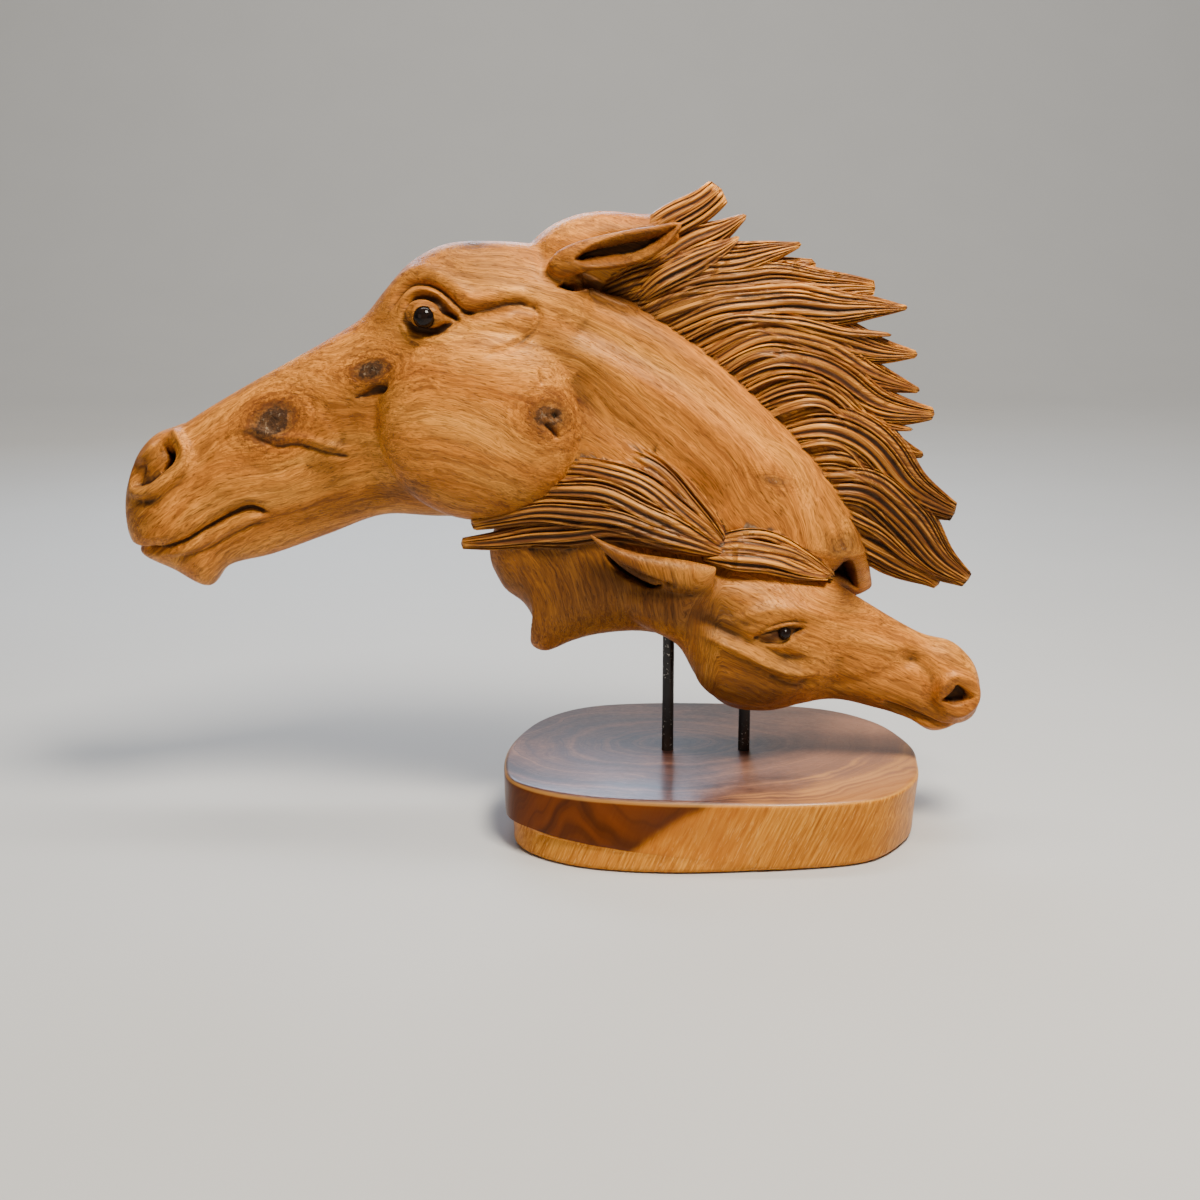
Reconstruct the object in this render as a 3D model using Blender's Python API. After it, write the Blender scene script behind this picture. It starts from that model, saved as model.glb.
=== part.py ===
"""Driftwood horse head sculpture on its stand.

A mare's head with a flying mane and a foal's head below her neck are carved from one block of
wood. Two plain steel rods hold the carving over an oval slab cut from a branch. Units are metres,
+Z is up, +X is to the right of the near side, +Y is away from it, and the origin is the centre of
the slab's underside.
"""

import math

import bmesh
import bpy
import numpy as np

# Driving sizes, in metres.
CARVING_LENGTH = 0.596        # muzzle of the mare to muzzle of the foal
CARVING_CLEARANCE = 0.0204    # slab's top to the lowest point of the carving
SLAB_LENGTH = 0.292
SLAB_DEPTH = 0.216
SLAB_THICKNESS = 0.048
SLAB_ROUNDING = 0.0045
ROD_DIAMETER = 0.0082
ROD_DEPTH_IN_SLAB = 0.030
ROD_DEPTH_IN_CARVING = 0.030
ROD_SPACING = 0.0545          # between the two rods' axes
ROD_SETBACK = -0.0045         # Y of the rods' axes
FIT = 0.0003                  # clearance between pieces that touch
MARE_BEAD_DIAMETER = 0.0150
FOAL_BEAD_DIAMETER = 0.0085

# The carving is drawn in units of a 596th of its own length, x from the slab's centre and z from
# the carving's lowest point, so its pose and proportions follow CARVING_LENGTH.
DRAWN_LENGTH = 596.0
UNIT = CARVING_LENGTH / DRAWN_LENGTH
GROUND = SLAB_THICKNESS + CARVING_CLEARANCE
MARE_Y = 12.0                 # the mare's middle plane
FOAL_Y = -20.0                # the foal's middle plane
GRAIN_SIZE = 2.4              # spacing of the first skin over the rough forms
BODY_TRIANGLES = 4200

# Each rib of a head or neck is its top x, z, its bottom x, z, its half width and its squareness.
MARE_HEAD = [
    (-408, 160, -407, 139, 9, 2.0),
    (-404, 175, -404, 128, 20, 2.2),
    (-396, 193, -395, 118, 28, 2.4),
    (-384, 205, -376, 109, 31, 2.5),
    (-368, 210, -353, 97, 30, 2.5),
    (-350, 221, -338, 112, 27, 2.5),
    (-326, 235, -307, 120, 26, 2.5),
    (-297, 251, -268, 134, 28, 2.4),
    (-266, 268, -229, 148, 32, 2.4),
    (-240, 284, -190, 147, 37, 2.3),
    (-224, 302, -155, 149, 42, 2.3),
    (-206, 321, -120, 165, 44, 2.4),
    (-182, 333, -95, 193, 43, 2.4),
    (-152, 335, -85, 214, 40, 2.3),
    (-118, 332, -78, 241, 36, 2.2),
    (-95, 322, -71, 269, 30, 2.0),
]
MARE_NECK = [
    (-135, 325, -170, 200, 32, 2.2),
    (-105, 321, -155, 185, 37, 2.2),
    (-64, 303, -120, 158, 39, 2.2),
    (-19, 275, -99, 125, 41, 2.2),
    (22, 241, -78, 108, 41, 2.2),
    (57, 206, -50, 96, 40, 2.2),
    (86, 172, -14, 92, 37, 2.2),
    (106, 136, 36, 96, 31, 2.1),
    (115, 96, 92, 88, 12, 2.0),
]
CHEST = [
    (-155, 131, -153, 114, 12, 2.2),
    (-147, 150, -144, 98, 22, 2.3),
    (-137, 162, -131, 88, 27, 2.4),
    (-126, 168, -124, 74, 29, 2.5),
    (-120, 170, -127, 59, 27, 2.5),
    (-108, 170, -116, 53, 28, 2.5),
    (-92, 170, -97, 61, 32, 2.5),
    (-72, 170, -78, 66, 35, 2.4),
    (-45, 168, -50, 68, 37, 2.3),
    (-15, 160, -15, 63, 36, 2.2),
    (15, 140, 13, 72, 30, 2.1),
    (38, 122, 36, 92, 18, 2.0),
]
CHEST_Y = -1.0
FOAL_HEAD = [
    (187, 31, 187, 21, 5, 2.0),
    (185, 42, 182, 10, 14, 2.1),
    (179, 53, 172, 5, 19, 2.3),
    (166, 64, 154, 0, 20, 2.4),
    (147, 69, 136, 10, 18, 2.4),
    (126, 80, 113, 17, 18, 2.4),
    (103, 94, 87, 23, 21, 2.4),
    (80, 108, 62, 20, 26, 2.3),
    (59, 114, 38, 15, 31, 2.2),
    (35, 118, 10, 19, 33, 2.2),
    (15, 121, -10, 38, 32, 2.2),
    (-6, 121, -24, 62, 30, 2.2),
    (-30, 120, -43, 73, 26, 2.1),
]
MANE_ROOT = [
    (-74, 340, -108, 300, 10, 2.0),
    (-36, 344, -84, 300, 13, 2.0),
    (-4, 339, -64, 292, 14, 2.0),
    (26, 327, -42, 278, 15, 2.0),
    (68, 311, -18, 262, 15, 2.0),
    (100, 292, 8, 238, 15, 2.0),
    (110, 266, 34, 210, 15, 2.0),
    (118, 236, 55, 184, 15, 2.0),
    (122, 204, 70, 160, 15, 2.0),
    (132, 168, 84, 138, 14, 2.0),
    (132, 132, 96, 116, 10, 2.0),
]

# Each lock of hair is its root x, y, z, its tip x, y, z, its bow and flick to the left of its run,
# its width, and its thickness near the root and at the tip.
MANE_LOCKS = [
    (-62, 9, 318, -4, 8, 371, 2, 1, 24, 36, 14),
    (-54, 9, 308, 11, 8, 365, 1, 1, 24, 38, 12),
    (-52, 5, 298, 24, 2, 352, 3, 3, 22, 44, 4),
    (-46, 14, 290, 19, 18, 335, 3, 2, 20, 48, 4),
    (-82, 12, 301, 58, 6, 335, -3, 2, 28, 58, 5),
    (-66, 13, 286, 84, 15, 312, -2, 1, 30, 64, 5),
    (-50, 12, 274, 107, 6, 306, 12, -1, 33, 68, 6),
    (-30, 13, 260, 131, 10, 292, 14, 5, 33, 70, 5),
    (-14, 12, 252, 140, 12, 260, 19, 3, 33, 70, 5),
    (2, 13, 244, 143, 12, 234, 21, 4, 32, 70, 5),
    (14, 12, 229, 155, 9, 216, 21, 5, 32, 70, 6),
    (28, 13, 213, 150, 13, 187, 23, 4, 31, 68, 5),
    (42, 12, 200, 174, 9, 151, 22, 6, 34, 66, 6),
    (52, 13, 184, 156, 15, 138, 18, 4, 28, 60, 4),
    (64, 12, 172, 184, 11, 103, 12, 4, 34, 56, 5),
    (78, 13, 158, 166, 12, 101, -7, -2, 26, 46, 4),
]
FOAL_MANE_LOCKS = [
    (8, -22, 131, -112, -8, 197, -22, 3, 25, 44, 22),
    (7, -24, 131, -130, -14, 182, -21, 3, 25, 50, 20),
    (6, -26, 130, -148, -18, 164, -19, 3, 25, 52, 16),
    (6, -28, 128, -165, -22, 147, -16, 2, 24, 48, 10),
    (6, -29, 126, -173, -22, 132, -13, 0, 20, 42, 4),
]
FORELOCKS = [
    (-8, -22, 130, 86, -16, 112, 15, 3, 20, 34, 6),
    (-8, -29, 127, 84, -28, 111, 15, 3, 20, 34, 6),
    (-8, -34, 123, 66, -42, 108, 12, 3, 18, 28, 5),
]
# Each ear is a run of x, y, z, width and thickness from its root to its tip.
MARE_EAR = [
    (-118, -8, 316, 20, 18),
    (-100, -15, 324, 30, 18),
    (-78, -20, 328, 35, 15),
    (-56, -21, 332, 30, 12),
    (-38, -20, 339, 18, 9),
    (-25, -18, 348, 4, 4),
]
FAR_EAR = [
    (-124, 24, 320, 22, 24),
    (-102, 26, 333, 30, 24),
    (-78, 26, 338, 33, 20),
    (-52, 24, 340, 26, 18),
    (-30, 22, 346, 15, 14),
]
POLL = [
    (-124, 12, 314, 28, 40),
    (-100, 12, 332, 32, 42),
    (-76, 12, 338, 32, 38),
    (-50, 10, 338, 28, 32),
    (-26, 9, 342, 22, 26),
]
FOAL_EAR = [
    (-2, -42, 112, 18, 14),
    (-22, -47, 113, 20, 12),
    (-42, -48, 118, 18, 10),
    (-60, -46, 125, 15, 9),
    (-74, -43, 136, 9, 7),
    (-85, -40, 146, 2, 3),
]
MARE_CHEEK = (-158, 25, 217, 71, 31, 68)      # x, y from the middle plane, z, and three radii
MARE_EYEBALL = (-192, 36, 289, 15, 12, 11)
FOAL_CHEEK = (28, 15, 52, 42, 17, 30)
FOAL_EYEBALL = (46, 22, 77, 15, 9, 8)
MARE_BEAD = (-193, 42.5, 288)
FOAL_BEAD = (47, 28.0, 77.5)


def place(x, y, z):
    """A point of the drawing in metres."""
    return (UNIT * x, UNIT * y, GROUND + UNIT * z)


def smooth_rows(rows, per_span):
    """Rows of numbers along a smooth curve through the given rows."""
    points = [np.array(row, dtype=float) for row in rows]
    points = [2 * points[0] - points[1]] + points + [2 * points[-1] - points[-2]]
    result = []
    for i in range(1, len(points) - 2):
        a, b, c, d = points[i - 1:i + 3]
        for j in range(per_span):
            t = j / per_span
            cubic = 3 * b - a - 3 * c + d
            square = 2 * a - 5 * b + 4 * c - d
            result.append(0.5 * (2 * b + (c - a) * t + square * t * t + cubic * t ** 3))
    result.append(points[-2])
    return result


def power(value, exponent):
    return math.copysign(abs(value) ** exponent, value)


def link(name, bm):
    mesh = bpy.data.meshes.new(name)
    bmesh.ops.recalc_face_normals(bm, faces=bm.faces[:])
    bm.to_mesh(mesh)
    bm.free()
    obj = bpy.data.objects.new(name, mesh)
    bpy.context.scene.collection.objects.link(obj)
    return obj


def skin(name, rings, tip=None):
    """A closed solid over rings of points, ending in a flat cap or at a tip."""
    bm = bmesh.new()
    loops = [[bm.verts.new(point) for point in ring] for ring in rings]
    count = len(loops[0])
    for first, second in zip(loops, loops[1:]):
        for k in range(count):
            m = (k + 1) % count
            bm.faces.new((first[k], first[m], second[m], second[k]))
    bm.faces.new(loops[0])
    if tip is None:
        bm.faces.new(loops[-1])
    else:
        apex = bm.verts.new(tip)
        for k in range(count):
            bm.faces.new((loops[-1][k], loops[-1][(k + 1) % count], apex))
    return link(name, bm)


def rib_solid(name, rows, middle, per_span=5, sides=32):
    """A head or neck over its ribs."""
    rings = []
    for tx, tz, bx, bz, half_width, square in smooth_rows(rows, per_span):
        ring = []
        for k in range(sides):
            angle = 2 * math.pi * k / sides
            up = power(math.cos(angle), 2 / square)
            out = power(math.sin(angle), 2 / square)
            x = (tx + bx) / 2 + up * (tx - bx) / 2
            z = (tz + bz) / 2 + up * (tz - bz) / 2
            ring.append(place(x, middle + half_width * out, z))
        rings.append(ring)
    return skin(name, rings)


def run_solid(name, rows, per_span=5, sides=20, mirror=None):
    """An ear or a similar form along a run of x, y, z, width and thickness."""
    samples = smooth_rows(rows, per_span)
    rings = []
    for i, (x, y, z, width, thickness) in enumerate(samples):
        before = samples[max(i - 1, 0)]
        after = samples[min(i + 1, len(samples) - 1)]
        dx, dz = after[0] - before[0], after[2] - before[2]
        length = math.hypot(dx, dz)
        nx, nz = -dz / length, dx / length
        ring = []
        for k in range(sides):
            angle = 2 * math.pi * k / sides
            across = width / 2 * math.cos(angle)
            out = thickness / 2 * math.sin(angle)
            yy = y + out if mirror is None else 2 * mirror - y - out
            ring.append(place(x + nx * across, yy, z + nz * across))
        rings.append(ring)
    return skin(name, rings)


def blob(name, middle, side, form, square=2.6, steps=24):
    """A rounded boss on one side of a middle plane."""
    x, y, z, rx, ry, rz = form
    bm = bmesh.new()
    bmesh.ops.create_uvsphere(bm, u_segments=2 * steps, v_segments=steps, radius=1.0)
    for vertex in bm.verts:
        a, b, c = vertex.co.x, vertex.co.z, vertex.co.y
        radial = math.hypot(a, c)
        ring = power(radial, 2 / square)
        factor = ring / radial if radial > 1e-6 else 0.0
        out = power(b, 2 / square)
        vertex.co = place(x + rx * a * factor, middle + side * (y + ry * out), z + rz * c * factor)
    return link(name, bm)


def lock_solid(name, lock, rings=7, ridges=5, groove=0.15):
    """A tapering lock of hair with ridges along it."""
    rx, ry, rz, tx, ty, tz, bow, flick, width, thick, thin = lock
    dx, dz = tx - rx, tz - rz
    length = math.hypot(dx, dz)
    nx, nz = -dz / length, dx / length

    def centre(t):
        lift = bow * math.sin(math.pi * t) + flick * math.sin(2 * math.pi * t)
        return (rx + dx * t + nx * lift, ry + (ty - ry) * t, rz + dz * t + nz * lift)

    loops = []
    for i in range(rings):
        t = i / (rings - 0.35)
        x, y, z = centre(t)
        ax, _, az = centre(max(t - 0.02, 0))
        bx, _, bz = centre(t + 0.02)
        step = math.hypot(bx - ax, bz - az)
        mx, mz = -(bz - az) / step, (bx - ax) / step
        rise = math.sin(math.pi / 2 * min(t * 3.5, 1))
        point = max(0.0, (t - 0.62) / 0.38)
        half_width = width / 2 * (0.6 + 0.4 * rise) * (1 - (1 - thin / thick) * point ** 1.35)
        half_thick = (thick + (thin - thick) * t) / 2 * (0.5 + 0.5 * rise)
        loop = []
        for k in range(2 * ridges):
            angle = math.pi * k / ridges
            size = 1 if k % 2 == 0 else 1 - groove
            across = half_width * size * power(math.cos(angle), 0.8)
            out = half_thick * size * power(math.sin(angle), 0.8)
            loop.append(place(x + mx * across, y + out, z + mz * across))
        loops.append(loop)
    return skin(name, loops, place(*centre(1.0)))


def settle(obj):
    """Replace an object's mesh by its evaluated mesh and drop its modifiers."""
    graph = bpy.context.evaluated_depsgraph_get()
    graph.update()
    mesh = bpy.data.meshes.new_from_object(obj.evaluated_get(graph))
    obj.modifiers.clear()
    obj.data = mesh
    return obj


def joined(name, objects):
    """One object holding the meshes of several, which go away."""
    bm = bmesh.new()
    for obj in objects:
        bm.from_mesh(obj.data)
        bpy.data.objects.remove(obj)
    mesh = bpy.data.meshes.new(name)
    bm.to_mesh(mesh)
    bm.free()
    result = bpy.data.objects.new(name, mesh)
    bpy.context.scene.collection.objects.link(result)
    return result


def skinned(obj, spacing, rounds, factor=0.5):
    """One even skin over overlapping forms, with their joins softened."""
    remesh = obj.modifiers.new("Skin", 'REMESH')
    remesh.mode = 'VOXEL'
    remesh.voxel_size = spacing * UNIT
    soften = obj.modifiers.new("Soften", 'SMOOTH')
    soften.factor = factor
    soften.iterations = rounds
    return settle(obj)


# Carved lines are x, z points with a width, a depth, the plane they are carved in and the side:
# -1 is the near side, 1 the far side and 0 both. A negative depth is a raised ridge.
STROKES = [
    ([(-388, 129), (-374, 134), (-358, 142), (-342, 150), (-328, 153), (-312, 149)], 4.0, 6.0, MARE_Y, 0),
    ([(-383, 122), (-362, 129), (-340, 139), (-320, 143)], 6.0, -2.5, MARE_Y, 0),
    ([(-384, 166), (-358, 160), (-331, 163), (-304, 165)], 8.0, 1.6, MARE_Y, 0),
    ([(-331, 200), (-314, 206), (-294, 207), (-273, 203), (-249, 196)], 4.0, -2.0, MARE_Y, 0),
    ([(-345, 190), (-338, 198), (-326, 205), (-310, 214)], 4.0, 1.5, MARE_Y, 0),
    ([(-218, 285), (-209, 298), (-197, 305), (-185, 303), (-174, 296), (-164, 289)], 4.0, -3.4, MARE_Y, 0),
    ([(-214, 279), (-203, 274), (-190, 273), (-178, 277), (-170, 283)], 3.6, -2.2, MARE_Y, 0),
    ([(-190, 270), (-167, 273), (-144, 274), (-131, 276)], 5.0, -3.0, MARE_Y, 0),
    ([(-166, 288), (-152, 294), (-138, 298), (-126, 296), (-123, 286), (-130, 277)], 4.0, -3.2, MARE_Y, 0),
    ([(-158, 282), (-142, 285)], 8.0, 3.6, MARE_Y, 0),
    ([(-232, 262), (-238, 240), (-238, 215), (-232, 190), (-220, 168)], 8.0, 4.5, MARE_Y, 0),
    ([(-206, 152), (-170, 142), (-135, 150), (-104, 172), (-90, 195)], 7.0, 3.0, MARE_Y, 0),
    ([(-88, 200), (-84, 225), (-92, 252), (-106, 272)], 13.0, 1.6, MARE_Y, 0),
    ([(-108, 309), (-94, 306), (-78, 296), (-60, 285)], 6.0, 7.0, MARE_Y, 0),
    ([(-120, 340), (-114, 325), (-112, 310)], 4.5, 4.0, MARE_Y, 0),
    ([(-112, 302), (-78, 298), (-45, 284), (-12, 264), (19, 241), (46, 214), (70, 182), (88, 148)],
     7.0, -3.0, MARE_Y, 0),
    ([(-107, 288), (-78, 276), (-45, 260), (-11, 241), (19, 219), (50, 188), (66, 160)],
     10.0, 4.0, MARE_Y, 0),
    ([(-100, 268), (-78, 258), (-45, 241), (-11, 220), (22, 194), (40, 170)], 9.0, -2.6, MARE_Y, 0),
    ([(-95, 250), (-78, 226), (-51, 205), (-18, 181), (6, 158)], 10.0, 3.4, MARE_Y, 0),
    ([(-7, 81), (7, 73), (24, 64), (41, 57), (58, 53), (72, 49)], 4.0, -2.6, FOAL_Y, 0),
    ([(-4, 66), (17, 55), (42, 46), (67, 40), (76, 44)], 4.0, 3.0, FOAL_Y, 0),
    ([(16, 88), (27, 84)], 6.0, 3.0, FOAL_Y, 0),
    ([(28, 70), (38, 79), (50, 85), (62, 86), (72, 82)], 3.0, -2.4, FOAL_Y, 0),
    ([(118, 22), (131, 17), (145, 11), (160, 7)], 3.2, 3.0, FOAL_Y, 0),
    ([(114, 60), (128, 55), (139, 44), (145, 30)], 5.0, 2.6, FOAL_Y, 0),
    ([(70, 74), (92, 70), (114, 67), (135, 62)], 5.0, -1.6, FOAL_Y, 0),
]
# Hollows are x, z outlines with a depth, the width of their rim and the plane and side.
HOLLOWS = [
    ([(-384, 200), (-375, 201), (-369, 194), (-371, 184), (-380, 177), (-389, 173), (-395, 175),
      (-393, 186)], 12.0, 5.0, MARE_Y, 0),
    ([(-92, 325), (-75, 334), (-57, 339), (-40, 343), (-44, 329), (-56, 321), (-78, 320)],
     6.5, 5.0, MARE_Y, -1),
    ([(163, 26), (166, 33), (173, 35), (178, 29), (174, 23)], 7.0, 3.5, FOAL_Y, 0),
    ([(-78, 138), (-61, 128), (-42, 122), (-26, 118), (-32, 110), (-50, 113), (-66, 124)],
     3.0, 3.0, FOAL_Y, -1),
]
RIMS = [
    ([(-391, 189), (-388, 199), (-380, 206), (-370, 204), (-364, 196), (-365, 184), (-373, 175),
      (-384, 168), (-394, 168)], 4.5, -4.0, MARE_Y, 0),
    ([(158, 24), (161, 34), (169, 39), (178, 36), (182, 27), (176, 18), (166, 17)],
     3.5, -2.2, FOAL_Y, 0),
]


def line_distance(x, z, points, per_span=4):
    """Distance of many points from a smooth line, and where along the line they are nearest."""
    line = np.array(smooth_rows(points, per_span))
    best = np.full(x.shape, 1e9)
    where = np.zeros(x.shape)
    spans = len(line) - 1
    for i in range(spans):
        ax, az = line[i]
        bx, bz = line[i + 1]
        lx, lz = bx - ax, bz - az
        t = np.clip(((x - ax) * lx + (z - az) * lz) / (lx * lx + lz * lz), 0, 1)
        distance = np.hypot(x - ax - t * lx, z - az - t * lz)
        nearer = distance < best
        best = np.where(nearer, distance, best)
        where = np.where(nearer, (i + t) / spans, where)
    return best, where


def inside_depth(x, z, outline):
    """How far inside an outline each point is, and zero outside it."""
    corners = np.array(smooth_rows(outline + [outline[0]], 3))
    inside = np.zeros(x.shape, dtype=bool)
    distance = np.full(x.shape, 1e9)
    for i in range(len(corners) - 1):
        ax, az = corners[i]
        bx, bz = corners[i + 1]
        lx, lz = bx - ax, bz - az
        span = lx * lx + lz * lz
        if span < 1e-9:
            continue
        t = np.clip(((x - ax) * lx + (z - az) * lz) / span, 0, 1)
        distance = np.minimum(distance, np.hypot(x - ax - t * lx, z - az - t * lz))
        crosses = (az > z) != (bz > z)
        if abs(lz) > 1e-9:
            inside ^= crosses & (x < ax + (z - az) / lz * lx)
    return np.where(inside, distance, 0.0)


def carve(obj, strokes, hollows, reach=26.0):
    """Move a skin's points in and out along the carved lines and hollows."""
    mesh = obj.data
    count = len(mesh.vertices)
    flat = np.empty(count * 3)
    mesh.vertices.foreach_get("co", flat)
    points = flat.reshape(count, 3)
    normals = np.empty(count * 3)
    mesh.vertices.foreach_get("normal", normals)
    normals = normals.reshape(count, 3)
    x = points[:, 0] / UNIT
    y = points[:, 1] / UNIT
    z = (points[:, 2] - GROUND) / UNIT
    facing = np.clip(np.abs(normals[:, 1]) * 1.8 - 0.15, 0, 1)
    move = np.zeros(count)

    def gate(plane, side):
        if side == 0:
            return facing
        return facing * (normals[:, 1] * side > 0) * ((y - plane) * side > 0)

    for line, width, depth, plane, side in strokes:
        pairs = [tuple(p) for p in line]
        low = np.min(pairs, axis=0) - reach
        high = np.max(pairs, axis=0) + reach
        near = np.nonzero((x > low[0]) & (x < high[0]) & (z > low[1]) & (z < high[1]))[0]
        distance, where = line_distance(x[near], z[near], pairs)
        taper = np.clip(np.minimum(where, 1 - where) * 6, 0, 1) ** 0.5
        profile = np.exp(-(distance / width) ** 2) * (0.25 + 0.75 * taper)
        move[near] -= depth * profile * gate(plane, side)[near]
    for outline, depth, rim, plane, side in hollows:
        inner = inside_depth(x, z, [tuple(p) for p in outline])
        share = np.clip(inner / rim, 0, 1)
        move -= depth * share * share * (3 - 2 * share) * gate(plane, side)
    points += normals * (move * UNIT)[:, None]
    mesh.vertices.foreach_set("co", points.reshape(-1))
    mesh.update()


def boolean(obj, other, operation, solver='EXACT'):
    """Unite an object with another or cut the other from it."""
    modifier = obj.modifiers.new("Shape", 'BOOLEAN')
    modifier.operation = operation
    modifier.object = other
    modifier.solver = solver
    settle(obj)
    bpy.data.objects.remove(other)


def filled(obj):
    """Keep only the outer shell, so that no pocket is left sealed between the locks."""
    bm = bmesh.new()
    bm.from_mesh(obj.data)
    left = set(bm.verts)
    shells = []
    while left:
        start = left.pop()
        shell = {start}
        open_ends = [start]
        while open_ends:
            vertex = open_ends.pop()
            for edge in vertex.link_edges:
                other = edge.other_vert(vertex)
                if other in left:
                    left.remove(other)
                    shell.add(other)
                    open_ends.append(other)
        shells.append(shell)
    outer = max(shells, key=len)
    inner = [vertex for shell in shells if shell is not outer for vertex in shell]
    bmesh.ops.delete(bm, geom=inner, context='VERTS')
    bm.to_mesh(obj.data)
    bm.free()


def rod_solid(name, x, y, low, high, radius, sides=24):
    """An upright round bar between two heights."""
    rings = []
    for z in (low, high):
        ring = []
        for k in range(sides):
            angle = 2 * math.pi * k / sides
            ring.append((x + radius * math.cos(angle), y + radius * math.sin(angle), z))
        rings.append(ring)
    return skin(name, rings)


def bead(name, middle, side, centre, diameter, rings=8, segments=12):
    x, y, z = centre
    bm = bmesh.new()
    bmesh.ops.create_uvsphere(bm, u_segments=segments, v_segments=rings, radius=diameter / 2)
    obj = link(name, bm)
    obj.rotation_euler = (math.pi / 2, 0, 0)
    obj.location = place(x, middle + side * y, z)
    return obj


def socket(name, middle, side, centre, diameter):
    """A ball slightly larger than a bead, to cut its seat."""
    cutter = bead(name, middle, side, centre, diameter + 2 * FIT)
    mesh = cutter.data
    mesh.transform(cutter.matrix_basis)
    cutter.matrix_basis.identity()
    return cutter


def material(name, colour, roughness, metallic=0.0):
    result = bpy.data.materials.new(name)
    result.use_nodes = True
    shader = result.node_tree.nodes["Principled BSDF"]
    shader.inputs["Base Color"].default_value = (*colour, 1.0)
    shader.inputs["Roughness"].default_value = roughness
    shader.inputs["Metallic"].default_value = metallic
    return result


def finish(obj, look, angle=50):
    obj.data.materials.clear()
    obj.data.materials.append(look)
    obj.data.shade_smooth()
    obj.data.set_sharp_from_angle(angle=math.radians(angle))


for existing in list(bpy.data.objects):
    bpy.data.objects.remove(existing)

carved_wood = material("carved wood", (0.42, 0.18, 0.065), 0.38)
slab_wood = material("slab wood", (0.34, 0.15, 0.06), 0.22)
black_steel = material("black painted steel", (0.012, 0.012, 0.013), 0.35, 0.6)
eye_gloss = material("black bead", (0.008, 0.006, 0.006), 0.08)

# Rough forms of the mare and foal under one skin.
forms = [
    rib_solid("mare head", MARE_HEAD, MARE_Y),
    rib_solid("mare neck", MARE_NECK, MARE_Y),
    rib_solid("chest", CHEST, CHEST_Y),
    rib_solid("foal head", FOAL_HEAD, FOAL_Y),
    rib_solid("mane root", MANE_ROOT, MARE_Y),
    run_solid("near ear", MARE_EAR),
    run_solid("far ear", FAR_EAR),
    run_solid("poll", POLL),
    run_solid("foal ear", FOAL_EAR),
]
for side in (-1, 1):
    forms.append(blob("mare cheek", MARE_Y, side, MARE_CHEEK))
    forms.append(blob("mare eyeball", MARE_Y, side, MARE_EYEBALL, 2.0))
    forms.append(blob("foal cheek", FOAL_Y, side, FOAL_CHEEK, 2.4))
    forms.append(blob("foal eyeball", FOAL_Y, side, FOAL_EYEBALL, 2.0))
carving = skinned(joined("carving", forms), GRAIN_SIZE, 5)
carve(carving, STROKES + RIMS, HOLLOWS)
thin = carving.modifiers.new("Facets", 'DECIMATE')
thin.ratio = min(1.0, BODY_TRIANGLES / (2 * len(carving.data.polygons)))
settle(carving)

# The locks of hair grow out of the body. Neighbours lie almost on each other, where the exact
# solver leaves pinched slivers.
for lock in MANE_LOCKS:
    boolean(carving, lock_solid("lock", lock), 'UNION', 'MANIFOLD')
for lock in FOAL_MANE_LOCKS + FORELOCKS:
    boolean(carving, lock_solid("lock", lock, 6, 5), 'UNION', 'MANIFOLD')

filled(carving)

# Seats of the eyes, and the bores of the two rods.
beads = []
for side, label in ((-1, "near"), (1, "far")):
    boolean(carving, socket("seat", MARE_Y, side, MARE_BEAD, MARE_BEAD_DIAMETER), 'DIFFERENCE')
    beads.append(bead("mare_eye_" + label, MARE_Y, side, MARE_BEAD, MARE_BEAD_DIAMETER))
    boolean(carving, socket("seat", FOAL_Y, side, FOAL_BEAD, FOAL_BEAD_DIAMETER), 'DIFFERENCE')
    beads.append(bead("foal_eye_" + label, FOAL_Y, side, FOAL_BEAD, FOAL_BEAD_DIAMETER, 6, 8))

ROD_MIDDLE_X = -0.0025
ROD_MEETS = (65.0, 22.0)      # drawing height at which each rod enters the carving
rods = []
bores = []
for i, side in enumerate((-1, 1)):
    x = ROD_MIDDLE_X + side * ROD_SPACING / 2
    foot = SLAB_THICKNESS - ROD_DEPTH_IN_SLAB
    head = GROUND + UNIT * ROD_MEETS[i] + ROD_DEPTH_IN_CARVING
    name = ("left_rod", "right_rod")[i]
    rods.append(rod_solid(name, x, ROD_SETBACK, foot, head, ROD_DIAMETER / 2))
    radius = ROD_DIAMETER / 2 + FIT
    bore = rod_solid("bore", x, ROD_SETBACK, SLAB_THICKNESS, head + FIT, radius)
    boolean(carving, bore, 'DIFFERENCE')
    bores.append((x, foot - FIT, radius))

# The slab's outline as shares of half its length and half its depth, near side last.
SLAB_OUTLINE = [
    (1.00, 0.12), (0.90, 0.52), (0.66, 0.83), (0.26, 0.96), (-0.20, 0.99), (-0.60, 0.90),
    (-0.84, 0.60), (-0.97, 0.14), (-1.00, -0.34), (-0.92, -0.68), (-0.62, -0.92), (-0.14, -1.02),
    (0.36, -1.05), (0.74, -0.94), (0.94, -0.60), (1.00, -0.22),
]


def lobe(angle, towards, power_of):
    return max(0.0, math.cos(angle - math.radians(towards))) ** power_of


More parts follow.
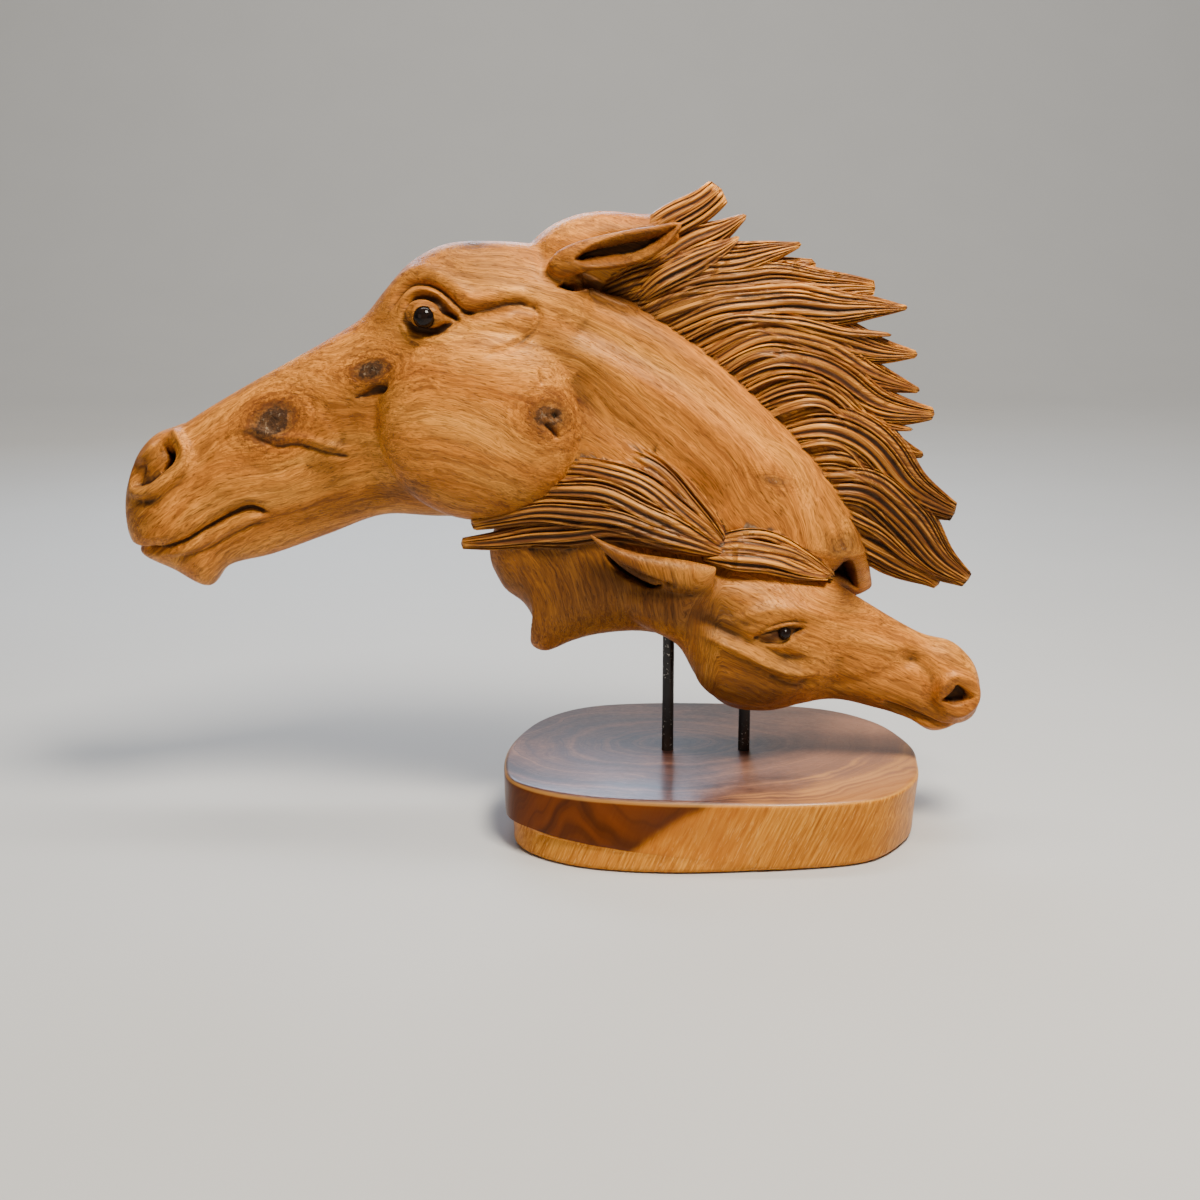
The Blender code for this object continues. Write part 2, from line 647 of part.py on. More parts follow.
def slab_ring(inset, height):
    """The slab's outline at one height, drawn in by an inset. Its live edge leans: out towards
    the underside at the front left, and in at the left and at the front right."""
    ring = []
    closed = [SLAB_OUTLINE[-1]] + SLAB_OUTLINE + SLAB_OUTLINE[:2]
    samples = smooth_rows(closed, 3)[3:-3][:3 * len(SLAB_OUTLINE)]
    for sx, sy in samples:
        angle = math.atan2(sy, sx)
        lean = 0.007 * lobe(angle, 180, 3) + 0.007 * lobe(angle, -52, 5)
        lean -= 0.011 * lobe(angle, -118, 5)
        pull = inset + lean * (1 - height / SLAB_THICKNESS)
        radius = math.hypot(sx * SLAB_LENGTH / 2, sy * SLAB_DEPTH / 2)
        factor = 1 - pull / radius
        ring.append((sx * SLAB_LENGTH / 2 * factor, sy * SLAB_DEPTH / 2 * factor, height))
    return ring


def slab_solid():
    rings = []
    curve = SLAB_ROUNDING
    for i in range(4):
        turn = math.pi / 2 * i / 3
        rings.append(slab_ring(curve * (1 - math.sin(turn)), curve * (1 - math.cos(turn))))
    for i in range(4):
        turn = math.pi / 2 * i / 3
        height = SLAB_THICKNESS - curve + curve * math.sin(turn)
        rings.append(slab_ring(curve * (1 - math.cos(turn)), height))
    return skin("slab", rings)


slab = slab_solid()
for x, low, radius in bores:
    bore = rod_solid("bore", x, ROD_SETBACK, low, SLAB_THICKNESS + 0.01, radius)
    boolean(slab, bore, 'DIFFERENCE')

finish(carving, carved_wood, 40)
finish(slab, slab_wood)
for rod in rods:
    finish(rod, black_steel)
for eye in beads:
    finish(eye, eye_gloss, 80)

stand = bpy.data.objects.new("sculpture", None)
bpy.context.scene.collection.objects.link(stand)
for obj in [carving, slab] + rods + beads:
    obj.parent = stand
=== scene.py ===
"""Looks of the driftwood horse head sculpture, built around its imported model.

The carving is made again from the same forms as the solid one, with a finer skin, the carved
lines of the face and a groove between every strand of hair. Units are metres.
"""

import math
import random

import bmesh
import bpy
import numpy as np
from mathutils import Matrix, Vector
from mathutils.bvhtree import BVHTree
from mathutils.kdtree import KDTree


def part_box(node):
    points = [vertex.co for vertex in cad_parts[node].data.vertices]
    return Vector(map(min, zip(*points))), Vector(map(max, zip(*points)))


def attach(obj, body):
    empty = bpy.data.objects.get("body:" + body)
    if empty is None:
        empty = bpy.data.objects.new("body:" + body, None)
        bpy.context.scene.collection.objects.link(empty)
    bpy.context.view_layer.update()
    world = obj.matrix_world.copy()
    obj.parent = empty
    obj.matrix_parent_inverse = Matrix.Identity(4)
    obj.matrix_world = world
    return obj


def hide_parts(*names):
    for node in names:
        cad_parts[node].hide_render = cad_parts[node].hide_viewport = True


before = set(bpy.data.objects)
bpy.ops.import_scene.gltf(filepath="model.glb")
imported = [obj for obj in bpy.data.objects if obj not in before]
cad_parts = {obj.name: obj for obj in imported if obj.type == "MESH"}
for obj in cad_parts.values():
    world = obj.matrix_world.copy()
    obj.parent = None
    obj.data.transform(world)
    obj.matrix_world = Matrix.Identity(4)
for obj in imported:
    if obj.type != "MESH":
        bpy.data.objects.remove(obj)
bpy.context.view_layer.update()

SLAB_LOW, SLAB_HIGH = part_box("slab")

# The carving is drawn in units of a 596th of its own length, x from the slab's centre and z from
# the carving's lowest point.
CARVING_LENGTH = 0.596
CARVING_CLEARANCE = 0.0204
DRAWN_LENGTH = 596.0
UNIT = CARVING_LENGTH / DRAWN_LENGTH
GROUND = SLAB_HIGH.z + CARVING_CLEARANCE
MARE_Y = 12.0
FOAL_Y = -20.0
CHEST_Y = -1.0
FIT = 0.0003                  # glue gap round a rod's end and round a bead
MARE_BEAD_DIAMETER = 0.0150
FOAL_BEAD_DIAMETER = 0.0085

SKIN_SPACING = 1.25           # drawing units between the points of the skin over the rough forms
SOFTENING = 30.0              # how far the joins of the rough forms are softened
BODY_TRIANGLES = 94000
CARVING_TRIANGLES = 192000    # most triangles that the whole carving may have
STRAND_PITCH = 2.7            # drawing units from one strand of hair to the next
LOCK_STEP = 3.8               # drawing units between two rings of a lock
STRAND_GROOVE = 1.1           # how deep the grooves are, in shares of a strand's width
STRAND_DEPTHS = (0.55, 1.0)   # how the depth of the grooves varies
PARTING_DEPTHS = (1.1, 1.6)   # and that of every third one, between two tresses
# The samples round a strand: their share of its width and of its height.
STRAND_SAMPLES = ((0.0, 0.0), (0.24, 0.56), (0.5, 1.0), (0.76, 0.56))
MANE_ROOT_SHARE = 0.6         # width of a lock at its root, in shares of its full width
FOAL_ROOT_SHARE = 0.3
TAPER_START = 0.58            # a lock narrows to its tip over the rest of its length
TAPER_LENGTH = 0.42
FIRST_JOINT = 3               # the first of the mane's locks with a narrow lock over its joint
FIRST_SEED = 11
LOCK_SAMPLES = 60             # points along each lock that its grain follows
HAIR_REACH = 0.0012           # a point this far from the bare wood is hair, in metres
HAIR_START = 0.00025
HAIR_RISE = 0.0009
LOCK_GRAIN_STEP = 37.0        # shift of the grain from one lock to the next
FAR_AWAY = 1e9

# Each rib of a head or neck is its top x, z, its bottom x, z, its half width and its squareness.
MARE_HEAD = [
    (-408, 160, -407, 139, 9, 2.0),
    (-404, 175, -404, 128, 20, 2.2),
    (-396, 193, -395, 118, 28, 2.4),
    (-384, 205, -376, 109, 31, 2.5),
    (-368, 210, -353, 97, 30, 2.5),
    (-350, 221, -338, 112, 27, 2.5),
    (-326, 235, -307, 120, 26, 2.5),
    (-297, 251, -268, 134, 28, 2.4),
    (-266, 268, -229, 148, 32, 2.4),
    (-240, 284, -190, 147, 37, 2.3),
    (-224, 302, -155, 149, 42, 2.3),
    (-206, 321, -120, 165, 44, 2.4),
    (-182, 333, -95, 193, 43, 2.4),
    (-152, 335, -85, 214, 40, 2.3),
    (-118, 332, -78, 241, 36, 2.2),
    (-95, 322, -71, 269, 30, 2.0),
]
MARE_NECK = [
    (-135, 325, -170, 200, 32, 2.2),
    (-105, 321, -155, 185, 37, 2.3),
    (-64, 303, -120, 158, 39, 2.6),
    (-19, 275, -99, 125, 41, 2.8),
    (22, 241, -78, 108, 41, 2.8),
    (57, 206, -50, 96, 40, 2.8),
    (86, 172, -14, 92, 37, 2.6),
    (106, 136, 36, 96, 31, 2.2),
    (115, 96, 92, 88, 12, 2.0),
]
CHEST = [
    (-155, 131, -153, 114, 12, 2.2),
    (-147, 150, -144, 98, 22, 2.3),
    (-137, 162, -131, 88, 27, 2.4),
    (-126, 168, -124, 74, 29, 2.5),
    (-120, 170, -127, 59, 27, 2.5),
    (-108, 170, -116, 53, 28, 2.5),
    (-92, 170, -97, 61, 32, 2.5),
    (-72, 170, -78, 66, 35, 2.4),
    (-45, 168, -50, 68, 37, 2.3),
    (-15, 160, -15, 63, 36, 2.2),
    (15, 140, 13, 72, 30, 2.1),
    (38, 122, 36, 92, 18, 2.0),
]
FOAL_HEAD = [
    (187, 31, 187, 21, 5, 2.0),
    (185, 42, 182, 10, 14, 2.1),
    (179, 53, 172, 5, 19, 2.3),
    (166, 64, 154, 0, 20, 2.4),
    (147, 69, 136, 10, 18, 2.4),
    (126, 80, 113, 17, 18, 2.4),
    (103, 94, 87, 23, 21, 2.4),
    (80, 108, 62, 20, 26, 2.3),
    (59, 114, 38, 15, 31, 2.2),
    (35, 118, 10, 19, 33, 2.2),
    (15, 121, -10, 38, 32, 2.2),
    (-6, 121, -24, 62, 30, 2.2),
    (-30, 120, -43, 73, 26, 2.1),
    (-54, 118, -64, 84, 17, 2.0),
]
MANE_ROOT = [
    (-74, 340, -108, 300, 10, 2.0),
    (-36, 340, -84, 300, 13, 2.0),
    (-12, 330, -64, 292, 14, 2.0),
    (8, 312, -42, 278, 15, 2.0),
    (36, 292, -18, 262, 15, 2.0),
    (60, 268, 8, 238, 15, 2.0),
    (78, 240, 34, 210, 15, 2.0),
    (92, 212, 55, 184, 15, 2.0),
    (102, 184, 70, 160, 15, 2.0),
    (110, 156, 84, 138, 13, 2.0),
    (112, 130, 96, 116, 9, 2.0),
]

# Each lock of hair is its root x, y, z, its tip x, y, z, its bow and flick to the left of its run,
# its width and its width at the tip, and its thickness near the root and at the tip.
MANE_LOCKS = [
    (-62, 9, 318, 3, 8, 369, 3, 2, 24, 19, 36, 14),
    (-54, 9, 308, 20, 8, 352, 2, 1, 22, 3, 38, 8),
    (-52, 5, 298, 15, 2, 338, 2, 2, 20, 3, 44, 6),
    (-76, 12, 300, 57, 6, 333, 3, 2, 30, 3, 50, 6),
    (-70, 13, 292, 68, 13, 320, 3, 1, 30, 6, 52, 5),
    (-62, 13, 280, 108, 8, 304, 12, 2, 38, 9, 54, 7),
    (-44, 12, 270, 130, 6, 291, 14, 4, 36, 2, 56, 5),
    (-26, 13, 257, 139, 10, 259, 19, 7, 36, 4, 56, 5),
    (-12, 12, 246, 142, 12, 234, 25, 8, 33, 3, 56, 5),
    (4, 13, 236, 153, 12, 218, 17, 11, 36, 8, 56, 6),
    (18, 12, 220, 147, 13, 189, 21, 11, 34, 3, 56, 5),
    (36, 13, 202, 170, 9, 149, 20, 10, 40, 13, 54, 6),
    (52, 13, 184, 158, 15, 137, 16, 6, 32, 4, 52, 4),
    (60, 12, 166, 182, 11, 100, 18, 8, 42, 11, 50, 6),
    (78, 13, 156, 162, 12, 97, -4, -2, 30, 8, 44, 4),
]
FOAL_MANE_LOCKS = [
    (8, -22, 132, -112, -8, 197, -22, 3, 27, 13, 44, 22),
    (7, -24, 132, -130, -14, 182, -21, 3, 27, 10, 50, 20),
    (6, -26, 131, -148, -18, 164, -19, 3, 27, 8, 52, 16),
    (6, -28, 130, -166, -22, 148, -16, 2, 26, 10, 48, 12),
    (6, -29, 129, -173, -22, 134, -13, -3, 22, 7, 42, 9),
]
FORELOCKS = [
    (-8, -20, 135, 84, -17, 110, 13, 1, 18, 2, 36, 6),
    (-8, -24, 131, 82, -24, 111, 8, 1, 18, 2, 44, 10),
    (-8, -27, 127, 78, -30, 112, 3, 1, 16, 2, 48, 12),
]
# The near ear and the foal's ear have ribs as the heads have, round middle planes of their own.
MARE_EAR_Y = -19.0
FOAL_EAR_Y = -45.0
MARE_EAR = [
    (-113, 322, -111, 315, 3, 2.0),
    (-107, 329, -104, 312, 7, 2.2),
    (-98, 334, -95, 314, 10, 2.6),
    (-87, 337.5, -84, 317, 10, 3.0),
    (-72, 341, -68, 318.5, 9, 3.2),
    (-56, 344, -52, 322, 8, 3.2),
    (-42, 346, -40, 328, 7, 3.0),
    (-32, 348, -31, 336, 5, 2.6),
    (-24, 349, -24, 345, 2, 2.0),
]
# The far ear and the poll are runs of x, y, z, width and thickness.
FAR_EAR = [
    (-124, 24, 320, 22, 24),
    (-102, 26, 333, 30, 24),
    (-78, 26, 338, 33, 20),
    (-52, 24, 340, 26, 18),
    (-30, 22, 346, 15, 14),
]
POLL = [
    (-124, 12, 314, 28, 40),
    (-100, 12, 332, 32, 42),
    (-76, 12, 338, 32, 38),
    (-50, 10, 338, 28, 32),
    (-26, 9, 342, 22, 26),
]
FOAL_EAR = [
    (1, 123, -4, 104, 4, 2.4),
    (-8, 125, -10, 104, 6.5, 2.3),
    (-20, 127.5, -21, 105, 8, 2.2),
    (-34, 129.5, -33, 108, 8, 2.2),
    (-50, 132, -46, 112, 7, 2.2),
    (-64, 136, -60, 120, 6, 2.1),
    (-76, 141, -73, 131, 4, 2.0),
    (-86, 147, -85, 143, 1.5, 2.0),
]
MARE_CHEEK = (-158, 25, 217, 71, 33, 68)      # x, y from the middle plane, z, and three radii
MARE_EYEBALL = (-192, 36, 289, 15, 12, 11)
FOAL_CHEEK = (28, 15, 52, 42, 17, 30)
FOAL_EYEBALL = (46, 22, 77, 15, 9, 8)
MARE_BEAD = (-193, 42.5, 288)
FOAL_BEAD = (47, 28.0, 77.5)
# Each bead is its node, its head's middle plane, its side, its centre and its diameter.
BEADS = [
    ("mare_eye_near", MARE_Y, -1, MARE_BEAD, MARE_BEAD_DIAMETER),
    ("foal_eye_near", FOAL_Y, -1, FOAL_BEAD, FOAL_BEAD_DIAMETER),
    ("mare_eye_far", MARE_Y, 1, MARE_BEAD, MARE_BEAD_DIAMETER),
    ("foal_eye_far", FOAL_Y, 1, FOAL_BEAD, FOAL_BEAD_DIAMETER),
]
RODS = ("left_rod", "right_rod")

# Carved lines are x, z points of the mare and of the foal with a width, a depth and the side: -1 is
# the near side, 1 the far side, 0 both and 2 all round. A negative depth is a raised ridge.
MARE_STROKES = [
    ([(-388, 126), (-373, 130), (-359, 136), (-345, 144), (-331, 152), (-318, 157), (-307, 154)],
     2.2, 5.4, 0),
    ([(-404, 127), (-394, 126), (-382, 128)], 2.4, 5.0, 2),
    ([(-374, 125), (-352, 132), (-335, 141), (-322, 148), (-309, 151)], 2.4, -2.6, 0),
    ([(-372, 121), (-350, 127), (-333, 136), (-318, 144), (-304, 147)], 1.8, 1.6, 0),
    ([(-392, 136), (-372, 140), (-353, 149), (-335, 159), (-318, 165), (-302, 161)], 3.6, -2.2, 0),
    ([(-350, 200), (-350, 186), (-358, 170), (-376, 160), (-390, 160)], 5.5, 2.8, 0),
    ([(-345, 178), (-325, 172), (-300, 172), (-275, 178)], 12.0, -2.0, 0),
    ([(-313, 206), (-297, 200), (-282, 201), (-263, 196), (-247, 192)], 2.0, 1.8, 0),
    ([(-328, 206), (-313, 211), (-296, 206), (-280, 206), (-262, 201), (-248, 197)], 2.8, -2.4, 0),
    ([(-272, 232), (-262, 222), (-254, 208), (-252, 192)], 5.0, 1.6, -1),
    ([(-322, 190), (-300, 184), (-280, 186), (-262, 182)], 6.0, 1.4, 0),
    ([(-346, 188), (-340, 199), (-329, 206), (-314, 209)], 2.4, 1.7, 0),
    ([(-273, 232), (-270, 221), (-272, 213)], 1.4, 0.8, 0),
    ([(-206, 288), (-204, 295), (-200, 299), (-194, 300.5), (-187, 299.5), (-181, 295), (-176, 289),
      (-170, 284)], 2.2, 5.6, 0),
    ([(-206, 289), (-204, 282.5), (-200, 279), (-193, 277.5), (-186, 278), (-180, 281), (-174, 285)],
     1.9, 4.6, 0),
    ([(-211, 290), (-207, 298.5), (-200, 303.5), (-192, 304.5), (-184, 301.5), (-177, 295), (-170, 288)],
     1.4, -2.2, 0),
    ([(-217, 293), (-211, 302.5), (-204, 308), (-195, 309), (-186, 306.5), (-178, 301), (-170, 294),
      (-162, 290)], 1.9, 3.8, 0),
    ([(-226, 300), (-212, 313), (-194, 317), (-177, 310), (-162, 300)], 4.5, -2.2, 0),
    ([(-211, 284), (-203, 274.5), (-192, 272), (-181, 274), (-170, 281)], 1.8, -1.6, 0),
    ([(-397, 163), (-389, 162), (-379, 165), (-369, 171), (-360, 180)], 3.2, 2.4, 0),
    ([(-176, 289), (-162, 290.5), (-150, 293), (-139, 296), (-129, 296), (-120, 292)], 3.0, 4.4, 0),
    ([(-166, 298), (-152, 301), (-139, 304), (-127, 303)], 3.4, -1.8, 0),
    ([(-164, 281), (-148, 284), (-133, 287)], 5.0, -2.2, 0),
    ([(-122, 297), (-118, 287), (-122, 278), (-134, 270), (-152, 264)], 2.6, 2.2, 0),
    ([(-250, 232), (-244, 204), (-234, 178), (-222, 158)], 9.0, 2.6, 0),
    ([(-108, 226), (-106, 222)], 2.0, 4.0, -1),
    ([(-114, 219), (-109, 214), (-106, 209)], 1.8, 4.0, -1),
    ([(-118, 254), (-116, 245)], 1.2, 1.6, -1),
    ([(-98, 308), (-84, 302), (-69, 295), (-53, 290)], 2.6, -3.0, -1),
    ([(-122, 342), (-117, 328), (-116, 312)], 4.0, 1.6, 0),
    ([(-107, 288), (-78, 276), (-45, 260), (-11, 241), (19, 219), (50, 188), (66, 160)], 10.0, 4.0, 0),
    ([(-100, 268), (-78, 258), (-45, 241), (-11, 220), (22, 194), (40, 170)], 9.0, -2.6, 0),
    ([(-95, 250), (-78, 226), (-51, 205), (-18, 181), (6, 158)], 11.0, 4.4, 0),
    ([(-40, 200), (-20, 192), (10, 178)], 12.0, -2.0, 0),
    ([(-380, 208), (-370, 207.5), (-363, 202), (-360, 195), (-362, 187), (-368, 180), (-378, 173),
      (-387, 168), (-397, 167)], 3.6, -4.8, 0),
    ([(-380, 199), (-385, 192), (-391, 185)], 3.4, -3.6, 0),
]
FOAL_STROKES = [
    ([(-6, 76), (6, 71), (19, 65), (32, 57.5), (44, 52), (56, 49), (70, 48.5)], 2.6, -3.6, 0),
    ([(-12, 88), (4, 81), (18, 75), (32, 68), (46, 62), (60, 58)], 4.8, 4.8, 0),
    ([(36, 49), (50, 43.5), (66, 42)], 3.6, 1.9, 0),
    ([(86, 60), (85, 44), (78, 32), (68, 22)], 9.0, 2.6, 0),
    ([(-2, 97), (13, 90), (24, 84)], 8.0, 2.4, 0),
    ([(12, 87), (26, 91), (42, 94), (60, 92), (76, 86)], 4.5, -2.8, 0),
    ([(26, 74.5), (34, 77.8), (43, 79.8), (51, 80.8), (61, 80.5)], 1.7, 3.8, 0),
    ([(28, 78), (35, 82), (43, 84.8), (52, 86), (63, 84.3)], 1.4, 1.8, 0),
    ([(27, 75), (33, 72), (41, 70.8), (48, 72.5), (54, 77), (59, 81)], 1.5, 3.0, 0),
    ([(118, 24), (132, 18.5), (148, 12), (160, 7), (172, 6)], 1.7, 4.0, 0),
    ([(122, 19), (138, 12.5), (154, 5.5)], 2.4, -1.6, 0),
    ([(126, 60), (141, 53), (149, 41), (149, 26), (157, 15)], 5.0, 3.6, 0),
    ([(79, 37), (95, 39), (111, 43), (126, 50), (141, 57)], 5.0, 1.8, 0),
    ([(70, 76), (92, 70), (114, 66), (132, 64)], 5.0, -1.6, 0),
    ([(155, 27), (157, 38), (165, 44), (175, 42), (181, 34), (180, 24), (171, 17), (161, 18)],
     3.0, -3.2, 0),
]
# Hollows are x, z outlines with a depth, the width of their rim and the side.
MARE_HOLLOWS = [
    ([(-378, 204), (-373, 204), (-368, 200), (-366, 194), (-367, 189), (-371, 184), (-379, 177),
      (-387, 172), (-400, 171), (-400, 186), (-390, 192), (-383, 199)], 8.0, 3.4, 0),
    ([(-378, 203), (-373, 203), (-368, 199), (-366.5, 194), (-367, 189), (-371, 185), (-378, 181),
      (-376, 188), (-374, 193), (-375, 198)], 10.0, 3.0, 0),
    ([(-247, 232), (-238, 238.5), (-229, 244), (-218, 243.5), (-222, 236), (-233, 231.5)], 4.6, 3.8, -1),
    ([(-96, 325), (-85, 333.5), (-72, 339), (-57, 342.5), (-43, 345), (-27, 347.5), (-32, 338),
      (-42, 330), (-54, 324), (-68, 320.5), (-85, 319.5)], 13.0, 2.8, -1),
    ([(-107, 307), (-100, 311), (-88, 311), (-76, 308), (-62, 304), (-57, 300), (-70, 300), (-84, 304),
      (-94, 303)], 12.0, 2.6, -1),
    ([(81, 108.5), (85, 114), (90, 119), (95, 120), (99, 115), (101, 106), (102, 97), (96, 100),
      (88, 105)], 13.0, 2.6, -1),
]
FOAL_HOLLOWS = [
    ([(28, 75), (35, 77), (43, 79), (51, 80), (58, 80), (53, 76), (47, 72.8), (40, 71.3), (33, 72.3)],
     2.4, 1.4, 0),
    ([(156, 27), (163, 33), (168, 39), (175, 35), (180, 29), (173, 24), (164, 23)], 9.0, 2.2, 0),
    ([(-76, 131), (-62, 125.5), (-46, 118.5), (-27, 111), (-44, 107), (-62, 113), (-72, 122)],
     9.0, 2.5, -1),
]

# Knots in the wood are x, z, the long and short radius, the tilt, the darkness and the side.
KNOTS = [
    (-300, 216, 21, 14, 30, 1.0, -1),
    (-231, 252, 15, 8, 15, 1.0, -1),
    (-112, 224, 12, 15, 80, 0.85, -1),
    (-162, 335, 8, 5, 0, 0.7, -1),
    (40, 178, 14, 4, -15, 0.6, -1),
    (88, 131, 12, 9, 20, 0.5, -1),
    (-280, 205, 14, 9, 20, 0.8, 1),
    (-10, 210, 16, 11, -30, 0.8, 1),
]
# Darker staining and painted shade are x, z, the long and short radius, the tilt, the strength and the
# side. Most are painted shade on undersides, in hollows and between the heads, the chest and the ears; a
# few are the wood's own darker tone.
STAINS_AND_SHADE = [
    (-68, 327, 50, 16, 15, 0.62, -1),
    (-60, 333, 38, 11, 16, 0.76, -1),
    (-66, 298, 44, 9, -24, 0.74, -1),
    (-25, 296, 42, 26, 30, 0.42, -1),
    (-80, 304, 24, 8, -18, 0.80, -1),
    (-190, 289, 22, 14, 8, 0.60, 0),
    (-10, 101, 18, 5, -8, 0.70, -1),
    (-165, 322, 52, 18, 5, 0.42, 0),
    (-233, 238, 20, 12, 20, 0.50, -1),
    (-150, 293, 24, 5, 8, 0.50, -1),
    (-88, 108, 84, 54, 0, 0.78, 0),
    (25, 36, 52, 28, 0, 0.78, 0),
    (6, 80, 26, 9, -28, 0.62, 0),
    (95, 26, 44, 17, -20, 0.62, 0),
    (43, 77, 19, 5.6, 16, 1.0, 0),
    (43, 77, 26, 10, 14, 0.40, 0),
    (-95, 156, 95, 24, -10, 0.42, 0),
    (-259, 186, 20, 42, -10, 0.45, -1),
    (-190, 160, 60, 20, -8, 0.30, 0),
    (-383, 188, 15, 13, 0, 0.50, 0),
    (93, 106, 13, 17, 0, 0.90, -1),
    (150, 150, 66, 60, 0, 0.50, 0),
    (-56, 118, 30, 10, -25, 0.92, -1),
    (-95, 215, 40, 30, 40, 0.25, 0),
    (-345, 146, 62, 18, 28, 0.20, 0),
    (166, 30, 9, 9, 0, 0.60, 0),
    (-22, 96, 56, 22, -14, 0.88, 0),
    (-248, 160, 68, 12, 12, 0.45, 0),
    (-212, 170, 26, 9, 18, 0.60, 0),
    (-390, 166, 13, 30, 0, 0.45, 0),
    (-102, 267, 34, 13, -22, 0.45, 0),
    (132, 18, 42, 12, 0, 0.60, 0),
    (-221, 288, 11, 12, 40, 0.50, 0),
    (-146, 154, 18, 14, 0, 0.45, -1),
    (-60, 262, 60, 7, -28, 0.25, 0),
]
# The mare's grain runs round one point of the drawing, the chest's round another.
MARE_GRAIN_CENTRE = (-222.0, -19.5)
CHEST_GRAIN_CENTRE = (-195.0, 75.0)


def place(x, y, z):
    """A point of the drawing in metres."""
    return (UNIT * x, UNIT * y, GROUND + UNIT * z)


def smooth_rows(rows, per_span):
    """Rows of numbers along a smooth curve through the given rows."""
    points = [np.array(row, dtype=float) for row in rows]
    points = [2 * points[0] - points[1]] + points + [2 * points[-1] - points[-2]]
    result = []
    for i in range(1, len(points) - 2):
        a, b, c, d = points[i - 1:i + 3]
        for j in range(per_span):
            t = j / per_span
            cubic = 3 * b - a - 3 * c + d
            square = 2 * a - 5 * b + 4 * c - d
            result.append(0.5 * (2 * b + (c - a) * t + square * t * t + cubic * t ** 3))
    result.append(points[-2])
    return result


def power(value, exponent):
    return math.copysign(abs(value) ** exponent, value)


def smooth_step(value, low, high):
    t = np.clip((value - low) / (high - low), 0, 1)
    return t * t * (3 - 2 * t)


def add_object(name, mesh):
    obj = bpy.data.objects.new(name, mesh)
    bpy.context.scene.collection.objects.link(obj)
    return obj


def link(name, bm):
    mesh = bpy.data.meshes.new(name)
    bmesh.ops.recalc_face_normals(bm, faces=bm.faces[:])
    bm.to_mesh(mesh)
    bm.free()
    return add_object(name, mesh)


def skin(name, rings, tip=None):
    """A closed solid over rings of points, ending in a flat cap or at a tip."""
    count = len(rings[0])
    points = [tuple(point) for ring in rings for point in ring]
    faces = [tuple(range(count))]
    for i in range(len(rings) - 1):
        for k in range(count):
            m = (k + 1) % count
            faces.append((i * count + k, i * count + m, (i + 1) * count + m, (i + 1) * count + k))
    last = (len(rings) - 1) * count
    if tip is None:
        faces.append(tuple(range(last, last + count)))
    else:
        points.append(tuple(tip))
        for k in range(count):
            faces.append((last + k, last + (k + 1) % count, len(points) - 1))
    mesh = bpy.data.meshes.new(name)
    mesh.from_pydata(points, [], faces)
    bm = bmesh.new()
    bm.from_mesh(mesh)
    bpy.data.meshes.remove(mesh)
    return link(name, bm)


def rib_solid(name, rows, middle, per_span=8, sides=72):
    """A head or neck over its ribs."""
    rings = []
    for tx, tz, bx, bz, half_width, square in smooth_rows(rows, per_span):
        ring = []
        for k in range(sides):
            angle = 2 * math.pi * k / sides
            up = power(math.cos(angle), 2 / square)
            out = power(math.sin(angle), 2 / square)
            x = (tx + bx) / 2 + up * (tx - bx) / 2
            z = (tz + bz) / 2 + up * (tz - bz) / 2
            ring.append(place(x, middle + half_width * out, z))
        rings.append(ring)
    return skin(name, rings)


def run_solid(name, rows, per_span=8, sides=40):
    """An ear or a similar form along a run of x, y, z, width and thickness."""
    samples = smooth_rows(rows, per_span)
    rings = []
    for i, (x, y, z, width, thickness) in enumerate(samples):
        before = samples[max(i - 1, 0)]
        after = samples[min(i + 1, len(samples) - 1)]
        dx, dz = after[0] - before[0], after[2] - before[2]
        length = math.hypot(dx, dz)
        nx, nz = -dz / length, dx / length
        ring = []
        for k in range(sides):
            angle = 2 * math.pi * k / sides
            across = width / 2 * math.cos(angle)
            out = thickness / 2 * math.sin(angle)
            ring.append(place(x + nx * across, y + out, z + nz * across))
        rings.append(ring)
    return skin(name, rings)


def blob(name, middle, side, form, square=2.6, steps=40):
    """A rounded boss on one side of a middle plane."""
    x, y, z, rx, ry, rz = form
    bm = bmesh.new()
    bmesh.ops.create_uvsphere(bm, u_segments=2 * steps, v_segments=steps, radius=1.0)
    for vertex in bm.verts:
        a, b, c = vertex.co.x, vertex.co.z, vertex.co.y
        radial = math.hypot(a, c)
        ring = power(radial, 2 / square)
        factor = ring / radial if radial > 1e-6 else 0.0
        out = power(b, 2 / square)
        vertex.co = place(x + rx * a * factor, middle + side * (y + ry * out), z + rz * c * factor)
    return link(name, bm)


def lock_middle(lock, wave=0.0, phase=0.0):
    """A lock's middle line as a function of the share of its length."""
    rx, ry, rz, tx, ty, tz, bow, flick = lock[:8]
    dx, dz = tx - rx, tz - rz
    length = math.hypot(dx, dz)
    nx, nz = -dz / length, dx / length

    def middle(t):
        lift = bow * math.sin(math.pi * t) + flick * math.sin(2 * math.pi * t)
        lift += wave * math.sin(phase + length / 9.0 * t) * math.sin(math.pi * min(t, 1))
        return (rx + dx * t + nx * lift, ry + (ty - ry) * t, rz + dz * t + nz * lift)

    return middle, length


def strand_columns(count, chance):
    """The samples round a lock: its face, place, share of the strand and the strand's own look."""
    columns = []
    for face in (1, -1):
        edges = [0.0] + [(k + chance.uniform(-0.36, 0.36)) / count for k in range(1, count)] + [1.0]
        depths = [chance.uniform(*(STRAND_DEPTHS if k % 3 else PARTING_DEPTHS)) for k in range(count + 1)]
        for k in range(count):
            crest = chance.uniform(-0.35, 0.45)
            phase = chance.uniform(0, 2 * math.pi)
            ragged = chance.uniform(-1.6, 1.6)
            for s, share in STRAND_SAMPLES:
                u = edges[k] + (edges[k + 1] - edges[k]) * s
                deep = depths[k] + (depths[k + 1] - depths[k]) * s
                columns.append((face, u, share, deep, crest, phase, ragged))
    return columns


